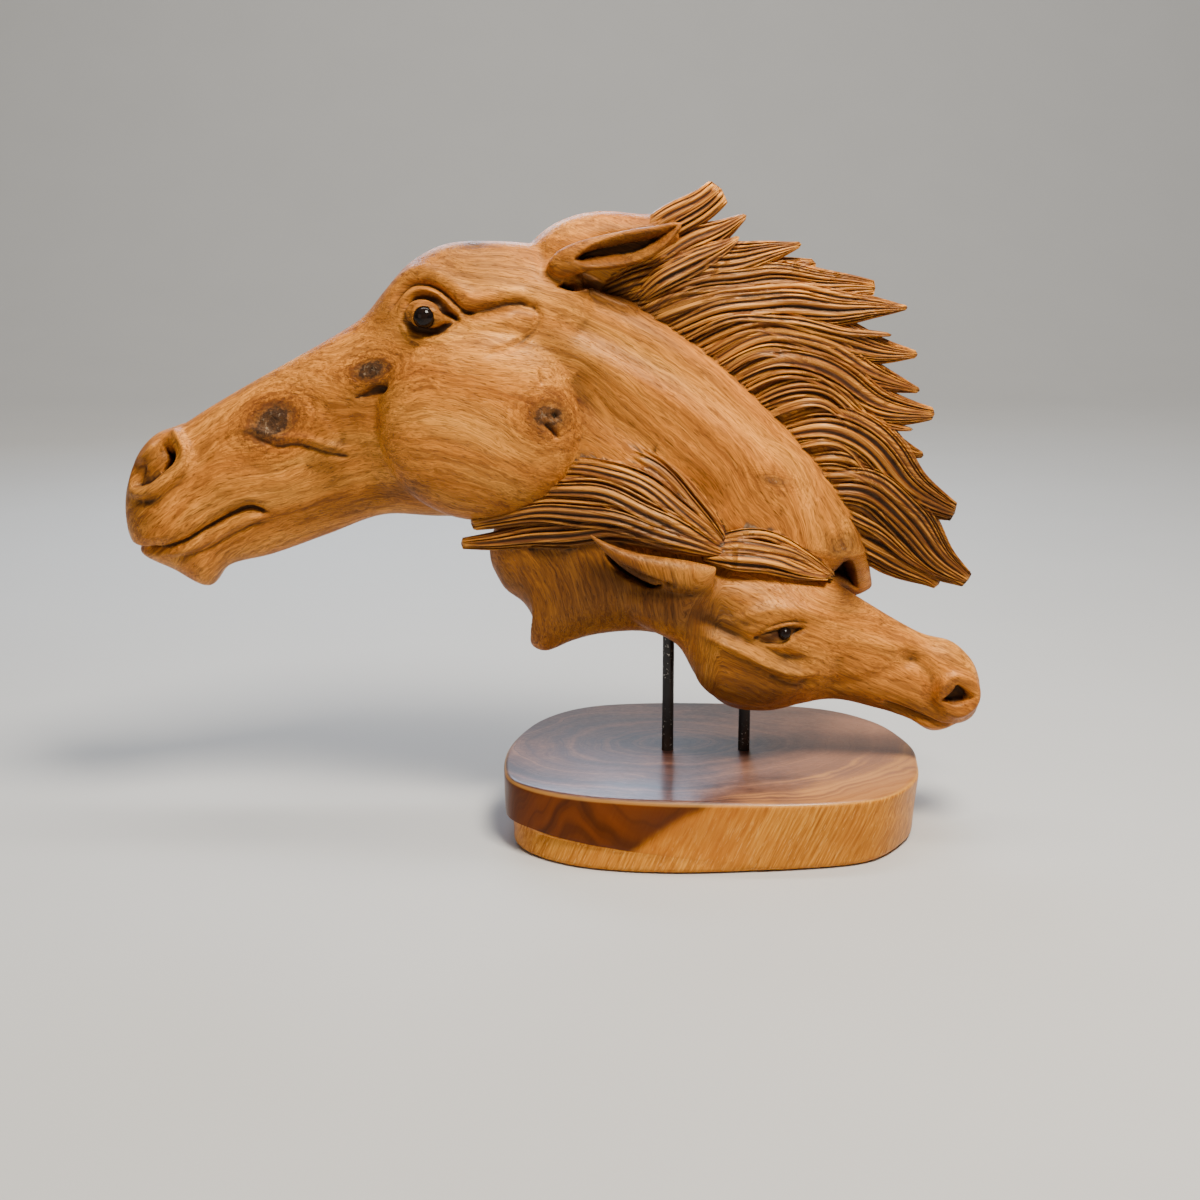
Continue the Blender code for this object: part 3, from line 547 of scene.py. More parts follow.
def lock_ring(middle, t, half_width, half_thick, columns, raggedness):
    """One ring of points round a lock, at a share of its length."""
    x, y, z = middle(t)
    ax, _, az = middle(max(t - 0.02, 0))
    bx, _, bz = middle(t + 0.02)
    step = math.hypot(bx - ax, bz - az)
    ux, uz = (bx - ax) / step, (bz - az) / step
    count = len(columns) // (2 * len(STRAND_SAMPLES))
    pitch = 2 * half_width / count
    shallow = min(1.0, half_thick / 3.5)
    ring = []
    for face, u, share, deep, crest, phase, ragged in columns:
        sway = 0.12 / count * math.sin(phase + 6.0 * t) * min(1.0, 16 * u * (1 - u))
        angle = math.pi * (u + sway) if face > 0 else math.pi * (1 + u + sway)
        c, n = math.cos(angle), math.sin(angle)
        lift = pitch * STRAND_GROOVE * deep * (share - 1.0)
        lift += pitch * 0.5 * crest * share * (0.6 + 0.4 * math.sin(phase + 4.0 * t))
        edge = 1 - abs(c) ** 10
        across = half_width * power(c, 0.9) + lift * c * 0.4
        out = half_thick * power(n, 0.75) + lift * math.copysign(1, n) * edge * shallow
        slip = ragged * raggedness
        ring.append(place(x - uz * across + ux * slip, y + out, z + ux * across + uz * slip))
    return ring


def lock_solid(lock, seed, root_share):
    """A tapering lock of hair with a groove between every two strands."""
    width, blunt, thick, thin = lock[8:]
    chance = random.Random(seed)
    middle, length = lock_middle(lock, 0.9, chance.uniform(0, 6))
    columns = strand_columns(max(3, round(width / STRAND_PITCH)), chance)
    count = max(8, round(length * 1.06 / LOCK_STEP))
    rings = []
    for i in range(count):
        t = i / (count - 0.35)
        rise = math.sin(math.pi / 2 * min(t * 3.5, 1))
        point = max(0.0, (t - TAPER_START) / TAPER_LENGTH)
        fullness = root_share + (1 - root_share) * rise
        half_width = width / 2 * fullness * (1 - (1 - blunt / width) * point ** 1.3)
        half_thick = (thick + (thin - thick) * t) / 2 * (0.5 + 0.5 * rise)
        rings.append(lock_ring(middle, t, half_width, half_thick, columns, point ** 3))
    return skin("lock", rings, place(*middle(1.0)))


def between_locks(first, second, share, shorter, width):
    """A narrow, pointed lock that stands proud over the joint of two others."""
    mixed = [a + (b - a) * share for a, b in zip(first, second)]
    root = mixed[:3]
    tip = [a + (b - a) * shorter for a, b in zip(root, mixed[3:6])]
    bow, flick, _, _, thick, thin = mixed[6:]
    return (*root, *tip, bow, flick, width, 2.0, thick + 3.0, thin + 6.0)


def settle(obj):
    """Replace an object's mesh by its evaluated mesh and drop its modifiers."""
    graph = bpy.context.evaluated_depsgraph_get()
    graph.update()
    mesh = bpy.data.meshes.new_from_object(obj.evaluated_get(graph))
    obj.modifiers.clear()
    obj.data = mesh
    return obj


def joined(name, objects):
    """One object holding the meshes of several, which go away."""
    bm = bmesh.new()
    for obj in objects:
        bm.from_mesh(obj.data)
        bpy.data.objects.remove(obj)
    mesh = bpy.data.meshes.new(name)
    bm.to_mesh(mesh)
    bm.free()
    return add_object(name, mesh)


def skinned(obj, spacing, softening, factor=0.5):
    """One even skin over overlapping forms, with their joins softened."""
    remesh = obj.modifiers.new("Skin", 'REMESH')
    remesh.mode = 'VOXEL'
    remesh.voxel_size = spacing * UNIT
    soften = obj.modifiers.new("Soften", 'SMOOTH')
    soften.factor = factor
    soften.iterations = round(softening / spacing ** 2)
    return settle(obj)


def segment_distance(x, z, start, end):
    """Distance of many points from a straight segment, and the share of it where they are nearest."""
    ax, az = start
    lx, lz = end[0] - ax, end[1] - az
    t = np.clip(((x - ax) * lx + (z - az) * lz) / (lx * lx + lz * lz), 0, 1)
    return np.hypot(x - ax - t * lx, z - az - t * lz), t


def line_distance(x, z, points):
    """Distance of many points from a smooth line, and where along the line they are nearest."""
    line = smooth_rows(points, 4)
    best = np.full(x.shape, FAR_AWAY)
    where = np.zeros(x.shape)
    for i, (start, end) in enumerate(zip(line, line[1:])):
        distance, t = segment_distance(x, z, start, end)
        nearer = distance < best
        best = np.where(nearer, distance, best)
        where = np.where(nearer, (i + t) / (len(line) - 1), where)
    return best, where


def inside_depth(x, z, outline):
    """How far inside an outline each point is, and zero outside it."""
    corners = smooth_rows(outline + [outline[0]], 3)
    inside = np.zeros(x.shape, dtype=bool)
    depth = np.full(x.shape, FAR_AWAY)
    for (ax, az), (bx, bz) in zip(corners, corners[1:]):
        distance, _ = segment_distance(x, z, (ax, az), (bx, bz))
        depth = np.minimum(depth, distance)
        if az != bz:
            crosses = (az > z) != (bz > z)
            inside ^= crosses & (x < ax + (z - az) / (bz - az) * (bx - ax))
    return np.where(inside, depth, 0.0)


def mesh_points(mesh, kind="co"):
    flat = np.empty(len(mesh.vertices) * 3)
    mesh.vertices.foreach_get(kind, flat)
    return flat.reshape(-1, 3)


def drawn(points):
    """Metres back to the drawing's units."""
    return points[:, 0] / UNIT, points[:, 1] / UNIT, (points[:, 2] - GROUND) / UNIT


def knot_coordinates(x, z, knot):
    """Distance from a knot's centre in its own radii, and the angle round it."""
    kx, kz, long, short, tilt, _, _ = knot
    c, s = math.cos(math.radians(tilt)), math.sin(math.radians(tilt))
    a = ((x - kx) * c + (z - kz) * s) / long
    b = (-(x - kx) * s + (z - kz) * c) / short
    return np.hypot(a, b), np.arctan2(b, a)


def carve(obj, reach=26.0):
    """Move a skin's points in and out along the carved lines, the hollows and the knots."""
    mesh = obj.data
    points = mesh_points(mesh)
    normals = mesh_points(mesh, "normal")
    x, y, z = drawn(points)
    facing = np.clip(np.abs(normals[:, 1]) * 1.8 - 0.15, 0, 1)
    move = np.zeros(len(points))

    def gate(plane, side):
        if side == 2:
            return np.ones(len(points))
        if side == 0:
            return facing
        return facing * (normals[:, 1] * side > 0) * ((y - plane) * side > 0)

    for plane, strokes in ((MARE_Y, MARE_STROKES), (FOAL_Y, FOAL_STROKES)):
        for line, width, depth, side in strokes:
            low = np.min(line, axis=0) - reach
            high = np.max(line, axis=0) + reach
            near = np.nonzero((x > low[0]) & (x < high[0]) & (z > low[1]) & (z < high[1]))[0]
            distance, where = line_distance(x[near], z[near], line)
            taper = np.clip(np.minimum(where, 1 - where) * 6, 0, 1) ** 0.5
            profile = np.exp(-(distance / width) ** 2) * (0.25 + 0.75 * taper)
            move[near] -= depth * profile * gate(plane, side)[near]
    for plane, hollows in ((MARE_Y, MARE_HOLLOWS), (FOAL_Y, FOAL_HOLLOWS)):
        for outline, depth, rim, side in hollows:
            share = smooth_step(inside_depth(x, z, outline), 0, rim)
            move -= depth * share * gate(plane, side)
    for knot in KNOTS:
        r, angle = knot_coordinates(x, z, knot)
        dent = 0.9 * np.exp(-(r / 0.8) ** 2) + 0.35 * np.cos(9 * r + np.sin(3 * angle)) * np.exp(-r * r)
        move -= knot[5] * 1.6 * dent * gate(MARE_Y, knot[6])
    points += normals * (move * UNIT)[:, None]
    mesh.vertices.foreach_set("co", points.reshape(-1))
    mesh.update()


def thinned(obj, triangles):
    """Fewer triangles, most of them left where the surface bends."""
    total = sum(len(face.vertices) - 2 for face in obj.data.polygons)
    if total > triangles:
        modifier = obj.modifiers.new("Facets", 'DECIMATE')
        modifier.ratio = triangles / total
        settle(obj)


def boolean(obj, other, operation, solver='EXACT'):
    """Unite an object with another or cut the other from it."""
    modifier = obj.modifiers.new("Shape", 'BOOLEAN')
    modifier.operation = operation
    modifier.object = other
    modifier.solver = solver
    settle(obj)
    bpy.data.objects.remove(other)


def filled(obj):
    """Keep only the outer shell, so that no pocket is left sealed between the locks."""
    bm = bmesh.new()
    bm.from_mesh(obj.data)
    left = set(bm.verts)
    shells = []
    while left:
        start = left.pop()
        shell = {start}
        open_ends = [start]
        while open_ends:
            vertex = open_ends.pop()
            for edge in vertex.link_edges:
                other = edge.other_vert(vertex)
                if other in left:
                    left.remove(other)
                    shell.add(other)
                    open_ends.append(other)
        shells.append(shell)
    outer = max(shells, key=len)
    inner = [vertex for shell in shells if shell is not outer for vertex in shell]
    bmesh.ops.delete(bm, geom=inner, context='VERTS')
    bm.to_mesh(obj.data)
    bm.free()


def ball(name, middle, side, centre, diameter):
    """A ball with its poles across the middle plane."""
    x, y, z = centre
    bm = bmesh.new()
    bmesh.ops.create_uvsphere(bm, u_segments=36, v_segments=24, radius=diameter / 2)
    turn = Vector((0, 0, 1)).rotation_difference(Vector((0, 1, 0))).to_matrix().to_4x4()
    turn.translation = place(x, middle + side * y, z)
    bmesh.ops.transform(bm, matrix=turn, verts=bm.verts[:])
    return link(name, bm)


def bar(name, x, y, low, high, radius, sides=40):
    """An upright round bar between two heights."""
    loops = []
    for z in (low, high):
        loop = []
        for k in range(sides):
            angle = 2 * math.pi * k / sides
            loop.append((x + radius * math.cos(angle), y + radius * math.sin(angle), z))
        loops.append(loop)
    return skin(name, loops)


def rod_measures(name):
    """The x and y of a rod's axis, the heights of its ends and its radius."""
    low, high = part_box(name)
    middle = (low + high) / 2
    return middle.x, middle.y, low.z, high.z, (high.x - low.x) / 2


def hair_locks():
    """Every lock of the carving, with the narrow ones that lie over the mane's joints."""
    locks = list(MANE_LOCKS)
    chance = random.Random(5)
    for first, second in zip(MANE_LOCKS[FIRST_JOINT:-1], MANE_LOCKS[FIRST_JOINT + 1:]):
        share, shorter = chance.uniform(0.35, 0.65), chance.uniform(0.78, 0.93)
        locks.append(between_locks(first, second, share, shorter, chance.uniform(11, 15)))
    return locks + FOAL_MANE_LOCKS + FORELOCKS


def make_carving():
    """The whole carving, and its bare wood without hair to tell the two apart."""
    forms = [
        rib_solid("mare head", MARE_HEAD, MARE_Y),
        rib_solid("mare neck", MARE_NECK, MARE_Y),
        rib_solid("chest", CHEST, CHEST_Y),
        rib_solid("foal head", FOAL_HEAD, FOAL_Y),
        rib_solid("mane root", MANE_ROOT, MARE_Y),
        rib_solid("near ear", MARE_EAR, MARE_EAR_Y),
        run_solid("far ear", FAR_EAR),
        run_solid("poll", POLL),
        rib_solid("foal ear", FOAL_EAR, FOAL_EAR_Y),
    ]
    for side in (-1, 1):
        forms.append(blob("mare cheek", MARE_Y, side, MARE_CHEEK))
        forms.append(blob("mare eyeball", MARE_Y, side, MARE_EYEBALL, 2.0))
        forms.append(blob("foal cheek", FOAL_Y, side, FOAL_CHEEK, 2.4))
        forms.append(blob("foal eyeball", FOAL_Y, side, FOAL_EYEBALL, 2.0))
    body = skinned(joined("horse_carving", forms), SKIN_SPACING, SOFTENING)
    carve(body)
    thinned(body, BODY_TRIANGLES)
    locks = None
    for i, lock in enumerate(hair_locks()):
        root_share = MANE_ROOT_SHARE if lock[1] > 0 else FOAL_ROOT_SHARE
        solid = lock_solid(lock, FIRST_SEED + i, root_share)
        if locks is None:
            locks = solid
        else:
            boolean(locks, solid, 'UNION', 'MANIFOLD')
    bare = BVHTree.FromObject(body, bpy.context.evaluated_depsgraph_get())
    boolean(body, locks, 'UNION', 'MANIFOLD')
    filled(body)
    thinned(body, CARVING_TRIANGLES)
    for _, middle, side, centre, diameter in BEADS:
        seat = ball("seat", middle, side, centre, diameter + 2 * FIT)
        boolean(body, seat, 'DIFFERENCE', 'MANIFOLD')
    for name in RODS:
        x, y, _, top, radius = rod_measures(name)
        bore = bar("bore", x, y, SLAB_HIGH.z, top + FIT, radius + FIT)
        boolean(body, bore, 'DIFFERENCE', 'MANIFOLD')
    return body, bare


def grain_fields(x, z):
    """Where each point lies across and along the wood's grain, in drawing units."""
    cx, cz = MARE_GRAIN_CENTRE
    across = np.hypot(x - cx, z - cz)
    along = np.arctan2(x - cx, z - cz) * 280
    foal_across = 0.42 * x + 0.90 * z
    foal_along = 0.90 * x - 0.42 * z
    cx, cz = CHEST_GRAIN_CENTRE
    chest_across = np.hypot(x - cx, z - cz)
    chest_along = np.arctan2(z - cz - 10, x - cx) * 90
    foal = smooth_step(x * 0.9 + (118 - z) * 0.8, -16, 14) * smooth_step(128 - z - 0.1 * x, -8, 8)
    chest = smooth_step(158 - z, 0, 24) * smooth_step(-8 - x, -12, 16) * smooth_step(x, -175, -160)
    across = across * (1 - foal) + foal_across * foal
    along = along * (1 - foal) + foal_along * foal
    across = across * (1 - chest) + chest_across * chest
    along = along * (1 - chest) + chest_along * chest
    return across, along


def add_field(mesh, name, values, kind='FLOAT'):
    attribute = mesh.attributes.new(name, kind, 'POINT')
    key = "vector" if kind == 'FLOAT_VECTOR' else "value"
    attribute.data.foreach_set(key, np.asarray(values, dtype=np.float32).reshape(-1))


def blurred(mesh, values, rounds):
    """Columns of values at a mesh's points, averaged with their neighbours round by round."""
    count = len(mesh.vertices)
    ends = np.empty(len(mesh.edges) * 2, dtype=np.int64)
    mesh.edges.foreach_get("vertices", ends)
    first, second = ends[0::2], ends[1::2]
    degree = np.maximum(np.bincount(ends, minlength=count), 1)
    calm = np.array(values, dtype=float).reshape(count, -1)
    for _ in range(rounds):
        total = np.empty_like(calm)
        for axis in range(calm.shape[1]):
            column = calm[:, axis]
            total[:, axis] = np.bincount(first, column[second], count)
            total[:, axis] += np.bincount(second, column[first], count)
        calm = 0.4 * calm + 0.6 * total / degree[:, None]
    return calm


def relief(mesh, rounds):
    """How far each point stands proud of its smoothed surroundings, in drawing units."""
    points = mesh_points(mesh)
    normals = mesh_points(mesh, "normal")
    return np.sum((points - blurred(mesh, points, rounds)) * normals, axis=1) / UNIT


def hair_fields(points, bare, across, along):
    """Which points are hair, with the grain turned along their locks."""
    locks = hair_locks()
    spots = LOCK_SAMPLES + 1
    tree = KDTree(len(locks) * spots)
    middles = []
    for i, lock in enumerate(locks):
        middles.append(lock_middle(lock))
        for k in range(spots):
            tree.insert(place(*middles[i][0](k / LOCK_SAMPLES)), i * spots + k)
    tree.balance()
    hair = np.zeros(len(points))
    for n, point in enumerate(points):
        spot, _, _, distance = bare.find_nearest(point, HAIR_REACH)
        if spot is not None and distance < HAIR_START:
            continue
        hair[n] = 1.0 if spot is None else min(1.0, (distance - HAIR_START) / HAIR_RISE)
        near, index, _ = tree.find(point)
        i, k = divmod(index, spots)
        middle, length = middles[i]
        ax, _, az = middle(max(k - 1, 0) / LOCK_SAMPLES)
        bx, _, bz = middle(min(k + 1, LOCK_SAMPLES) / LOCK_SAMPLES)
        size = math.hypot(bx - ax, bz - az)
        px, pz = (point[0] - near[0]) / UNIT, (point[2] - near[2]) / UNIT
        across[n] = (-(bz - az) * px + (bx - ax) * pz) / size + LOCK_GRAIN_STEP * i
        along[n] = length * k / LOCK_SAMPLES + ((bx - ax) * px + (bz - az) * pz) / size
    return hair


def knot_fields(x, y, z, facing, hair, across):
    """Each point's distance from the nearest knot, the knot's darkness, and the grain bent round it."""
    ring = np.full(len(x), 3.0)
    darkness = np.zeros(len(x))
    for knot in KNOTS:
        kx, kz, long, short, _, dark, side = knot
        r, _ = knot_coordinates(x, z, knot)
        there = (facing * side > -0.1) & ((y - MARE_Y) * side > 0) & (hair < 0.5)
        r = np.where(there, r, 9.0)
        middle, _ = grain_fields(np.array([float(kx)]), np.array([float(kz)]))
        reach = 2.5 * (long + short) / 2
        bulge = np.where(there, 1.0, 0.0) * np.exp(-(np.hypot(x - kx, z - kz) / reach) ** 2)
        across = across - (across - middle[0]) * 0.7 * bulge
        nearer = r < ring
        ring = np.where(nearer, r, ring)
        darkness = np.where(nearer, dark, darkness)
    return ring, darkness, across


# Darker staining and painted shade: undersides, hollows and the places between parts are darkened, a few
# of them for the wood's own tone.
def stain_and_shade_field(x, z, facing):
    stain_and_shade = np.zeros(len(x))
    for spot in STAINS_AND_SHADE:
        strength, side = spot[5:]
        r, _ = knot_coordinates(x, z, spot)
        there = np.where((facing * side > -0.2) | (side == 0), 1.0, 0.0)
        stain_and_shade = np.maximum(stain_and_shade, strength * np.exp(-r ** 2.5) * there)
    return stain_and_shade


def relief_fields(mesh, hair):
    """How far points stand proud of the strand and of the lock that they are in."""
    fine = relief(mesh, 4)
    broad = relief(mesh, 24)
    # The smooth wood beside a lock stays clear of the shade in the lock's own grooves.
    smooth = hair < 0.5
    seam = smooth & (blurred(mesh, hair, 1)[:, 0] > 0.02)
    fine = np.where(seam, np.maximum(fine, 0.0), fine)
    broad = np.where(seam, np.maximum(broad, -0.3), broad)
    broad = np.where(smooth, blurred(mesh, broad, 3)[:, 0], broad)
    return fine, broad


def paint_fields(obj, bare):
    """Fields that the carved wood's material reads: grain, relief, hair, knots, and darker staining with
    painted shade.
    """
    mesh = obj.data
    points = mesh_points(mesh)
    facing = mesh_points(mesh, "normal")[:, 1]
    x, y, z = drawn(points)
    across, along = grain_fields(x, z)
    hair = hair_fields(points, bare, across, along)
    ring, darkness, across = knot_fields(x, y, z, facing, hair, across)
    fine, broad = relief_fields(mesh, hair)
    add_field(mesh, "grain", np.stack([across, along, y], axis=1) * UNIT, 'FLOAT_VECTOR')
    add_field(mesh, "knot", np.stack([ring, darkness, hair], axis=1), 'FLOAT_VECTOR')
    add_field(mesh, "stain_and_shade", stain_and_shade_field(x, z, facing))
    add_field(mesh, "fine_relief", np.clip(0.5 + 0.55 * fine, 0, 1))
    add_field(mesh, "broad_relief", np.clip(0.5 + 0.16 * broad, 0, 1))


# Materials

class Nodes:
    """A material's node tree, with a short call for each kind of node."""

    def __init__(self, name):
        self.material = bpy.data.materials.new(name)
        self.material.use_nodes = True
        self.tree = self.material.node_tree
        self.shader = self.tree.nodes["Principled BSDF"]

    def add(self, kind, inputs, **properties):
        node = self.tree.nodes.new("ShaderNode" + kind)
        for key, value in properties.items():
            setattr(node, key, value)
        for key, value in inputs.items():
            self.set(node.inputs[key], value)
        return node

    def set(self, socket, value):
        if isinstance(value, bpy.types.NodeSocket):
            self.tree.links.new(value, socket)
        else:
            socket.default_value = value

    def field(self, name, output="Fac"):
        return self.add("Attribute", {}, attribute_name=name).outputs[output]

    def place(self):
        return self.add("TexCoord", {}).outputs["Object"]

    def split(self, vector):
        return self.add("SeparateXYZ", {0: vector}).outputs[:3]

    def vector(self, *axes):
        return self.add("CombineXYZ", dict(enumerate(axes))).outputs[0]

    def stretch(self, vector, scale):
        return self.add("VectorMath", {0: vector, 1: scale}, operation='MULTIPLY').outputs[0]

    def shift(self, vector, offset):
        return self.add("VectorMath", {0: vector, 1: offset}, operation='ADD').outputs[0]

    def noise(self, vector, scale, detail=2.0, roughness=0.5, output="Fac"):
        """Noise of one scale, or of a scale for each axis."""
        if isinstance(scale, tuple):
            vector, scale = self.stretch(vector, scale), 1.0
        inputs = {"Vector": vector, "Scale": scale, "Detail": detail, "Roughness": roughness}
        return self.add("TexNoise", inputs).outputs[output]

    def math(self, operation, *values):
        return self.add("Math", dict(enumerate(values)), operation=operation).outputs[0]

    def plus(self, a, b):
        return self.math('ADD', a, b)

    def minus(self, a, b):
        return self.math('SUBTRACT', a, b)

    def times(self, first, *others):
        for other in others:
            first = self.math('MULTIPLY', first, other)
        return first

    def between(self, value, low, high, to_low=0.0, to_high=1.0):
        inputs = dict(enumerate((value, low, high, to_low, to_high)))
        return self.add("MapRange", inputs, interpolation_type='SMOOTHSTEP').outputs[0]

    def mix(self, share, a, b, blend='MIX'):
        node = self.add("Mix", {}, data_type='RGBA', blend_type=blend)
        self.set(node.inputs["Factor"], share)
        self.set(node.inputs[6], (*a, 1.0) if isinstance(a, tuple) else a)
        self.set(node.inputs[7], (*b, 1.0) if isinstance(b, tuple) else b)
        return node.outputs[2]

    def tinted(self, colour, *tints):
        """A colour with others mixed in, each by where a field lies and from one share to another."""
        for tone, field, low, high, first, last in tints:
            colour = self.mix(self.between(field, low, high, first, last), colour, tone)
        return colour

    def colour(self, share, *stops):
        node = self.add("ValToRGB", {0: share})
        ramp = node.color_ramp
        while len(ramp.elements) < len(stops):
            ramp.elements.new(0.5)
        for element, (position, colour) in zip(ramp.elements, stops):
            element.position = position
            element.color = (*colour, 1.0)
        return node.outputs[0]

    def bump(self, height, strength, distance):
        inputs = {"Height": height, "Strength": strength, "Distance": distance}
        return self.add("Bump", inputs).outputs[0]

    def finish(self, **values):
        for key, value in values.items():
            self.set(self.shader.inputs[key.replace("_", " ")], value)
        return self.material


PALE_WOOD = (0.88, 0.365, 0.055)
GOLD_WOOD = (0.67, 0.228, 0.028)
BROWN_WOOD = (0.40, 0.110, 0.014)
DARK_WOOD = (0.135, 0.036, 0.010)
DEEP_WOOD = (0.024, 0.010, 0.008)
# The colour that painted shade and darker staining multiply into the wood.
STAIN_AND_SHADE_TONE = (0.07, 0.055, 0.16)
KNOT_CORE = (0.034, 0.020, 0.014)
# Colour of the painted glints in the knots' dark cores.
KNOT_GLINT = (0.36, 0.25, 0.15)


def knotted(n, colour, ring, dark, turbulence):
    """A wood's colour with rings, a rim, a dark core with painted glints at its knots, and the core's
    share.
    """
    rough_ring = n.plus(ring, n.between(turbulence, 0.25, 0.75, -0.16, 0.16))
    rings = n.math('SINE', n.times(rough_ring, 17.0))
    rings = n.times(n.between(rings, -0.1, 0.9), n.between(ring, 2.8, 0.8), dark)
    rim = n.times(n.between(rough_ring, 1.12, 0.98), n.between(rough_ring, 0.78, 0.95), dark)
    core = n.times(n.between(rough_ring, 1.05, 0.45), dark)
    # Light flecks in a knot's core are painted glints.
    glint = n.times(n.between(turbulence, 0.54, 0.66), n.between(ring, 0.75, 0.3), dark)
    colour = n.mix(n.times(rings, 0.70), colour, DARK_WOOD)
    colour = n.mix(n.times(rim, 0.7), colour, DARK_WOOD)
    colour = n.mix(n.times(core, 0.90), colour, KNOT_CORE)
    return n.mix(n.times(glint, 0.5), colour, KNOT_GLINT), core


def carved_wood():
    n = Nodes("carved wood")
    grain = n.field("grain", "Vector")
    ring, dark, hair = n.split(n.field("knot", "Vector"))
    fine = n.field("fine_relief")
    broad = n.field("broad_relief")
    swirl = n.noise(grain, (130, 35, 130), output="Color")
    warped = n.shift(grain, n.stretch(swirl, (0.009, 0.0, 0.009)))
    bands = n.noise(warped, (48, 5, 34), 3.0, 0.55)
    streaks = n.noise(warped, (300, 6, 200), 4.0, 0.6)
    fibres = n.noise(warped, (1050, 18, 650), 3.0, 0.6)
    pores = n.noise(grain, (1350, 125, 1000), 1.5)
    strands = n.noise(grain, (760, 9, 0), 3.0, 0.65)
    tresses = n.noise(grain, (170, 7, 0), 2.0, 0.6)
    patches = n.noise(n.place(), 8.0, 3.0)
    turbulence = n.noise(n.place(), 330.0, 4.0, 0.65)

    colour = n.colour(bands, (0.24, BROWN_WOOD), (0.45, GOLD_WOOD), (0.72, PALE_WOOD))
    colour = n.tinted(
        colour,
        (GOLD_WOOD, patches, 0.40, 0.68, 0.0, 0.5),
        (DARK_WOOD, streaks, 0.34, 0.58, 0.54, 0.0),
        (DARK_WOOD, fibres, 0.36, 0.62, 0.46, 0.0),
        (PALE_WOOD, fibres, 0.54, 0.72, 0.0, 0.22),
        (DEEP_WOOD, pores, 0.57, 0.68, 0.0, 0.42),
    )
    # On the hair: painted highlight on the strands' crests, and painted shade in the grooves between
    # strands and where a lock lies low between others. The strands and tresses noise is the hair's own
    # tone.
    for tone, field, low, high, most in (
        (PALE_WOOD, fine, 0.52, 0.86, 0.80),
        (DEEP_WOOD, fine, 0.57, 0.25, 0.97),
        (DARK_WOOD, strands, 0.56, 0.40, 0.85),
        (DARK_WOOD, tresses, 0.52, 0.36, 0.65),
        (DARK_WOOD, broad, 0.52, 0.30, 0.70),
    ):
        colour = n.mix(n.times(hair, n.between(field, low, high, 0.0, most)), colour, tone)
    # Painted shade in the grooves and hollows of the whole carving, partly real staining that gathers in
    # them.
    colour = n.tinted(
        colour,
        (DEEP_WOOD, fine, 0.44, 0.10, 0.0, 0.80),
        (DEEP_WOOD, broad, 0.46, 0.14, 0.0, 0.72),
    )
    colour, core = knotted(n, colour, ring, dark, turbulence)
    # Painted shade with some real staining: undersides, hollows and the places between parts are
    # multiplied darker.
    colour = n.mix(n.field("stain_and_shade"), colour, STAIN_AND_SHADE_TONE, 'MULTIPLY')

    height = n.plus(n.times(streaks, 0.4), n.times(fibres, 0.5))
    height = n.minus(height, n.between(pores, 0.57, 0.68, 0.0, 0.5))
    height = n.plus(height, n.times(strands, hair, 1.2))
    height = n.plus(height, n.times(turbulence, n.times(core, 2.0)))
    roughness = n.minus(n.between(streaks, 0.2, 0.8, 0.50, 0.36), n.times(hair, 0.07))
    shine = n.plus(n.times(hair, 0.16), 0.28)
    return n.finish(Base_Color=colour, Roughness=roughness, Specular_IOR_Level=shine,
                    Specular_Tint=(1.0, 0.70, 0.40, 1.0), Normal=n.bump(height, 0.75, 0.0006))


# The lower edge of the slab's heartwood is this high, falls with x and bends down to both ends.
HEART_HEIGHT = 0.0075
HEART_SLOPE = 0.14
HEART_BEND = 0.35


def heart_and_sap(n, spot, x, bands, lines, clouds, fibre_top, fibre_side, fleck_side):
    """The colours of the slab's dark heartwood and of its pale sapwood."""
    heart = n.colour(n.plus(n.times(bands, 0.62), n.times(clouds, 0.38)),
                     (0.38, (0.020, 0.008, 0.007)), (0.47, (0.072, 0.028, 0.019)),
                     (0.55, (0.150, 0.060, 0.036)), (0.66, (0.25, 0.110, 0.060)))
    rightwards = n.plus(x, n.between(clouds, 0.2, 0.8, -0.03, 0.03))
    heart = n.tinted(
        heart,
        ((0.018, 0.007, 0.006), lines, 0.54, 0.64, 0.0, 0.75),
        ((0.03, 0.012, 0.01), fibre_top, 0.38, 0.62, 0.28, 0.0),
        ((0.34, 0.150, 0.075), rightwards, -0.02, 0.12, 0.0, 0.60),
    )
    sap = n.colour(fibre_side, (0.30, (0.30, 0.085, 0.008)), (0.52, (0.56, 0.205, 0.018)),
                   (0.74, (0.80, 0.37, 0.045)))
    sap = n.tinted(
        sap,
        ((0.48, 0.145, 0.012), n.noise(spot, 30.0, 3.0), 0.42, 0.72, 0.0, 0.45),
        ((0.92, 0.52, 0.13), fleck_side, 0.58, 0.70, 0.0, 0.30),
    )
    return heart, sap


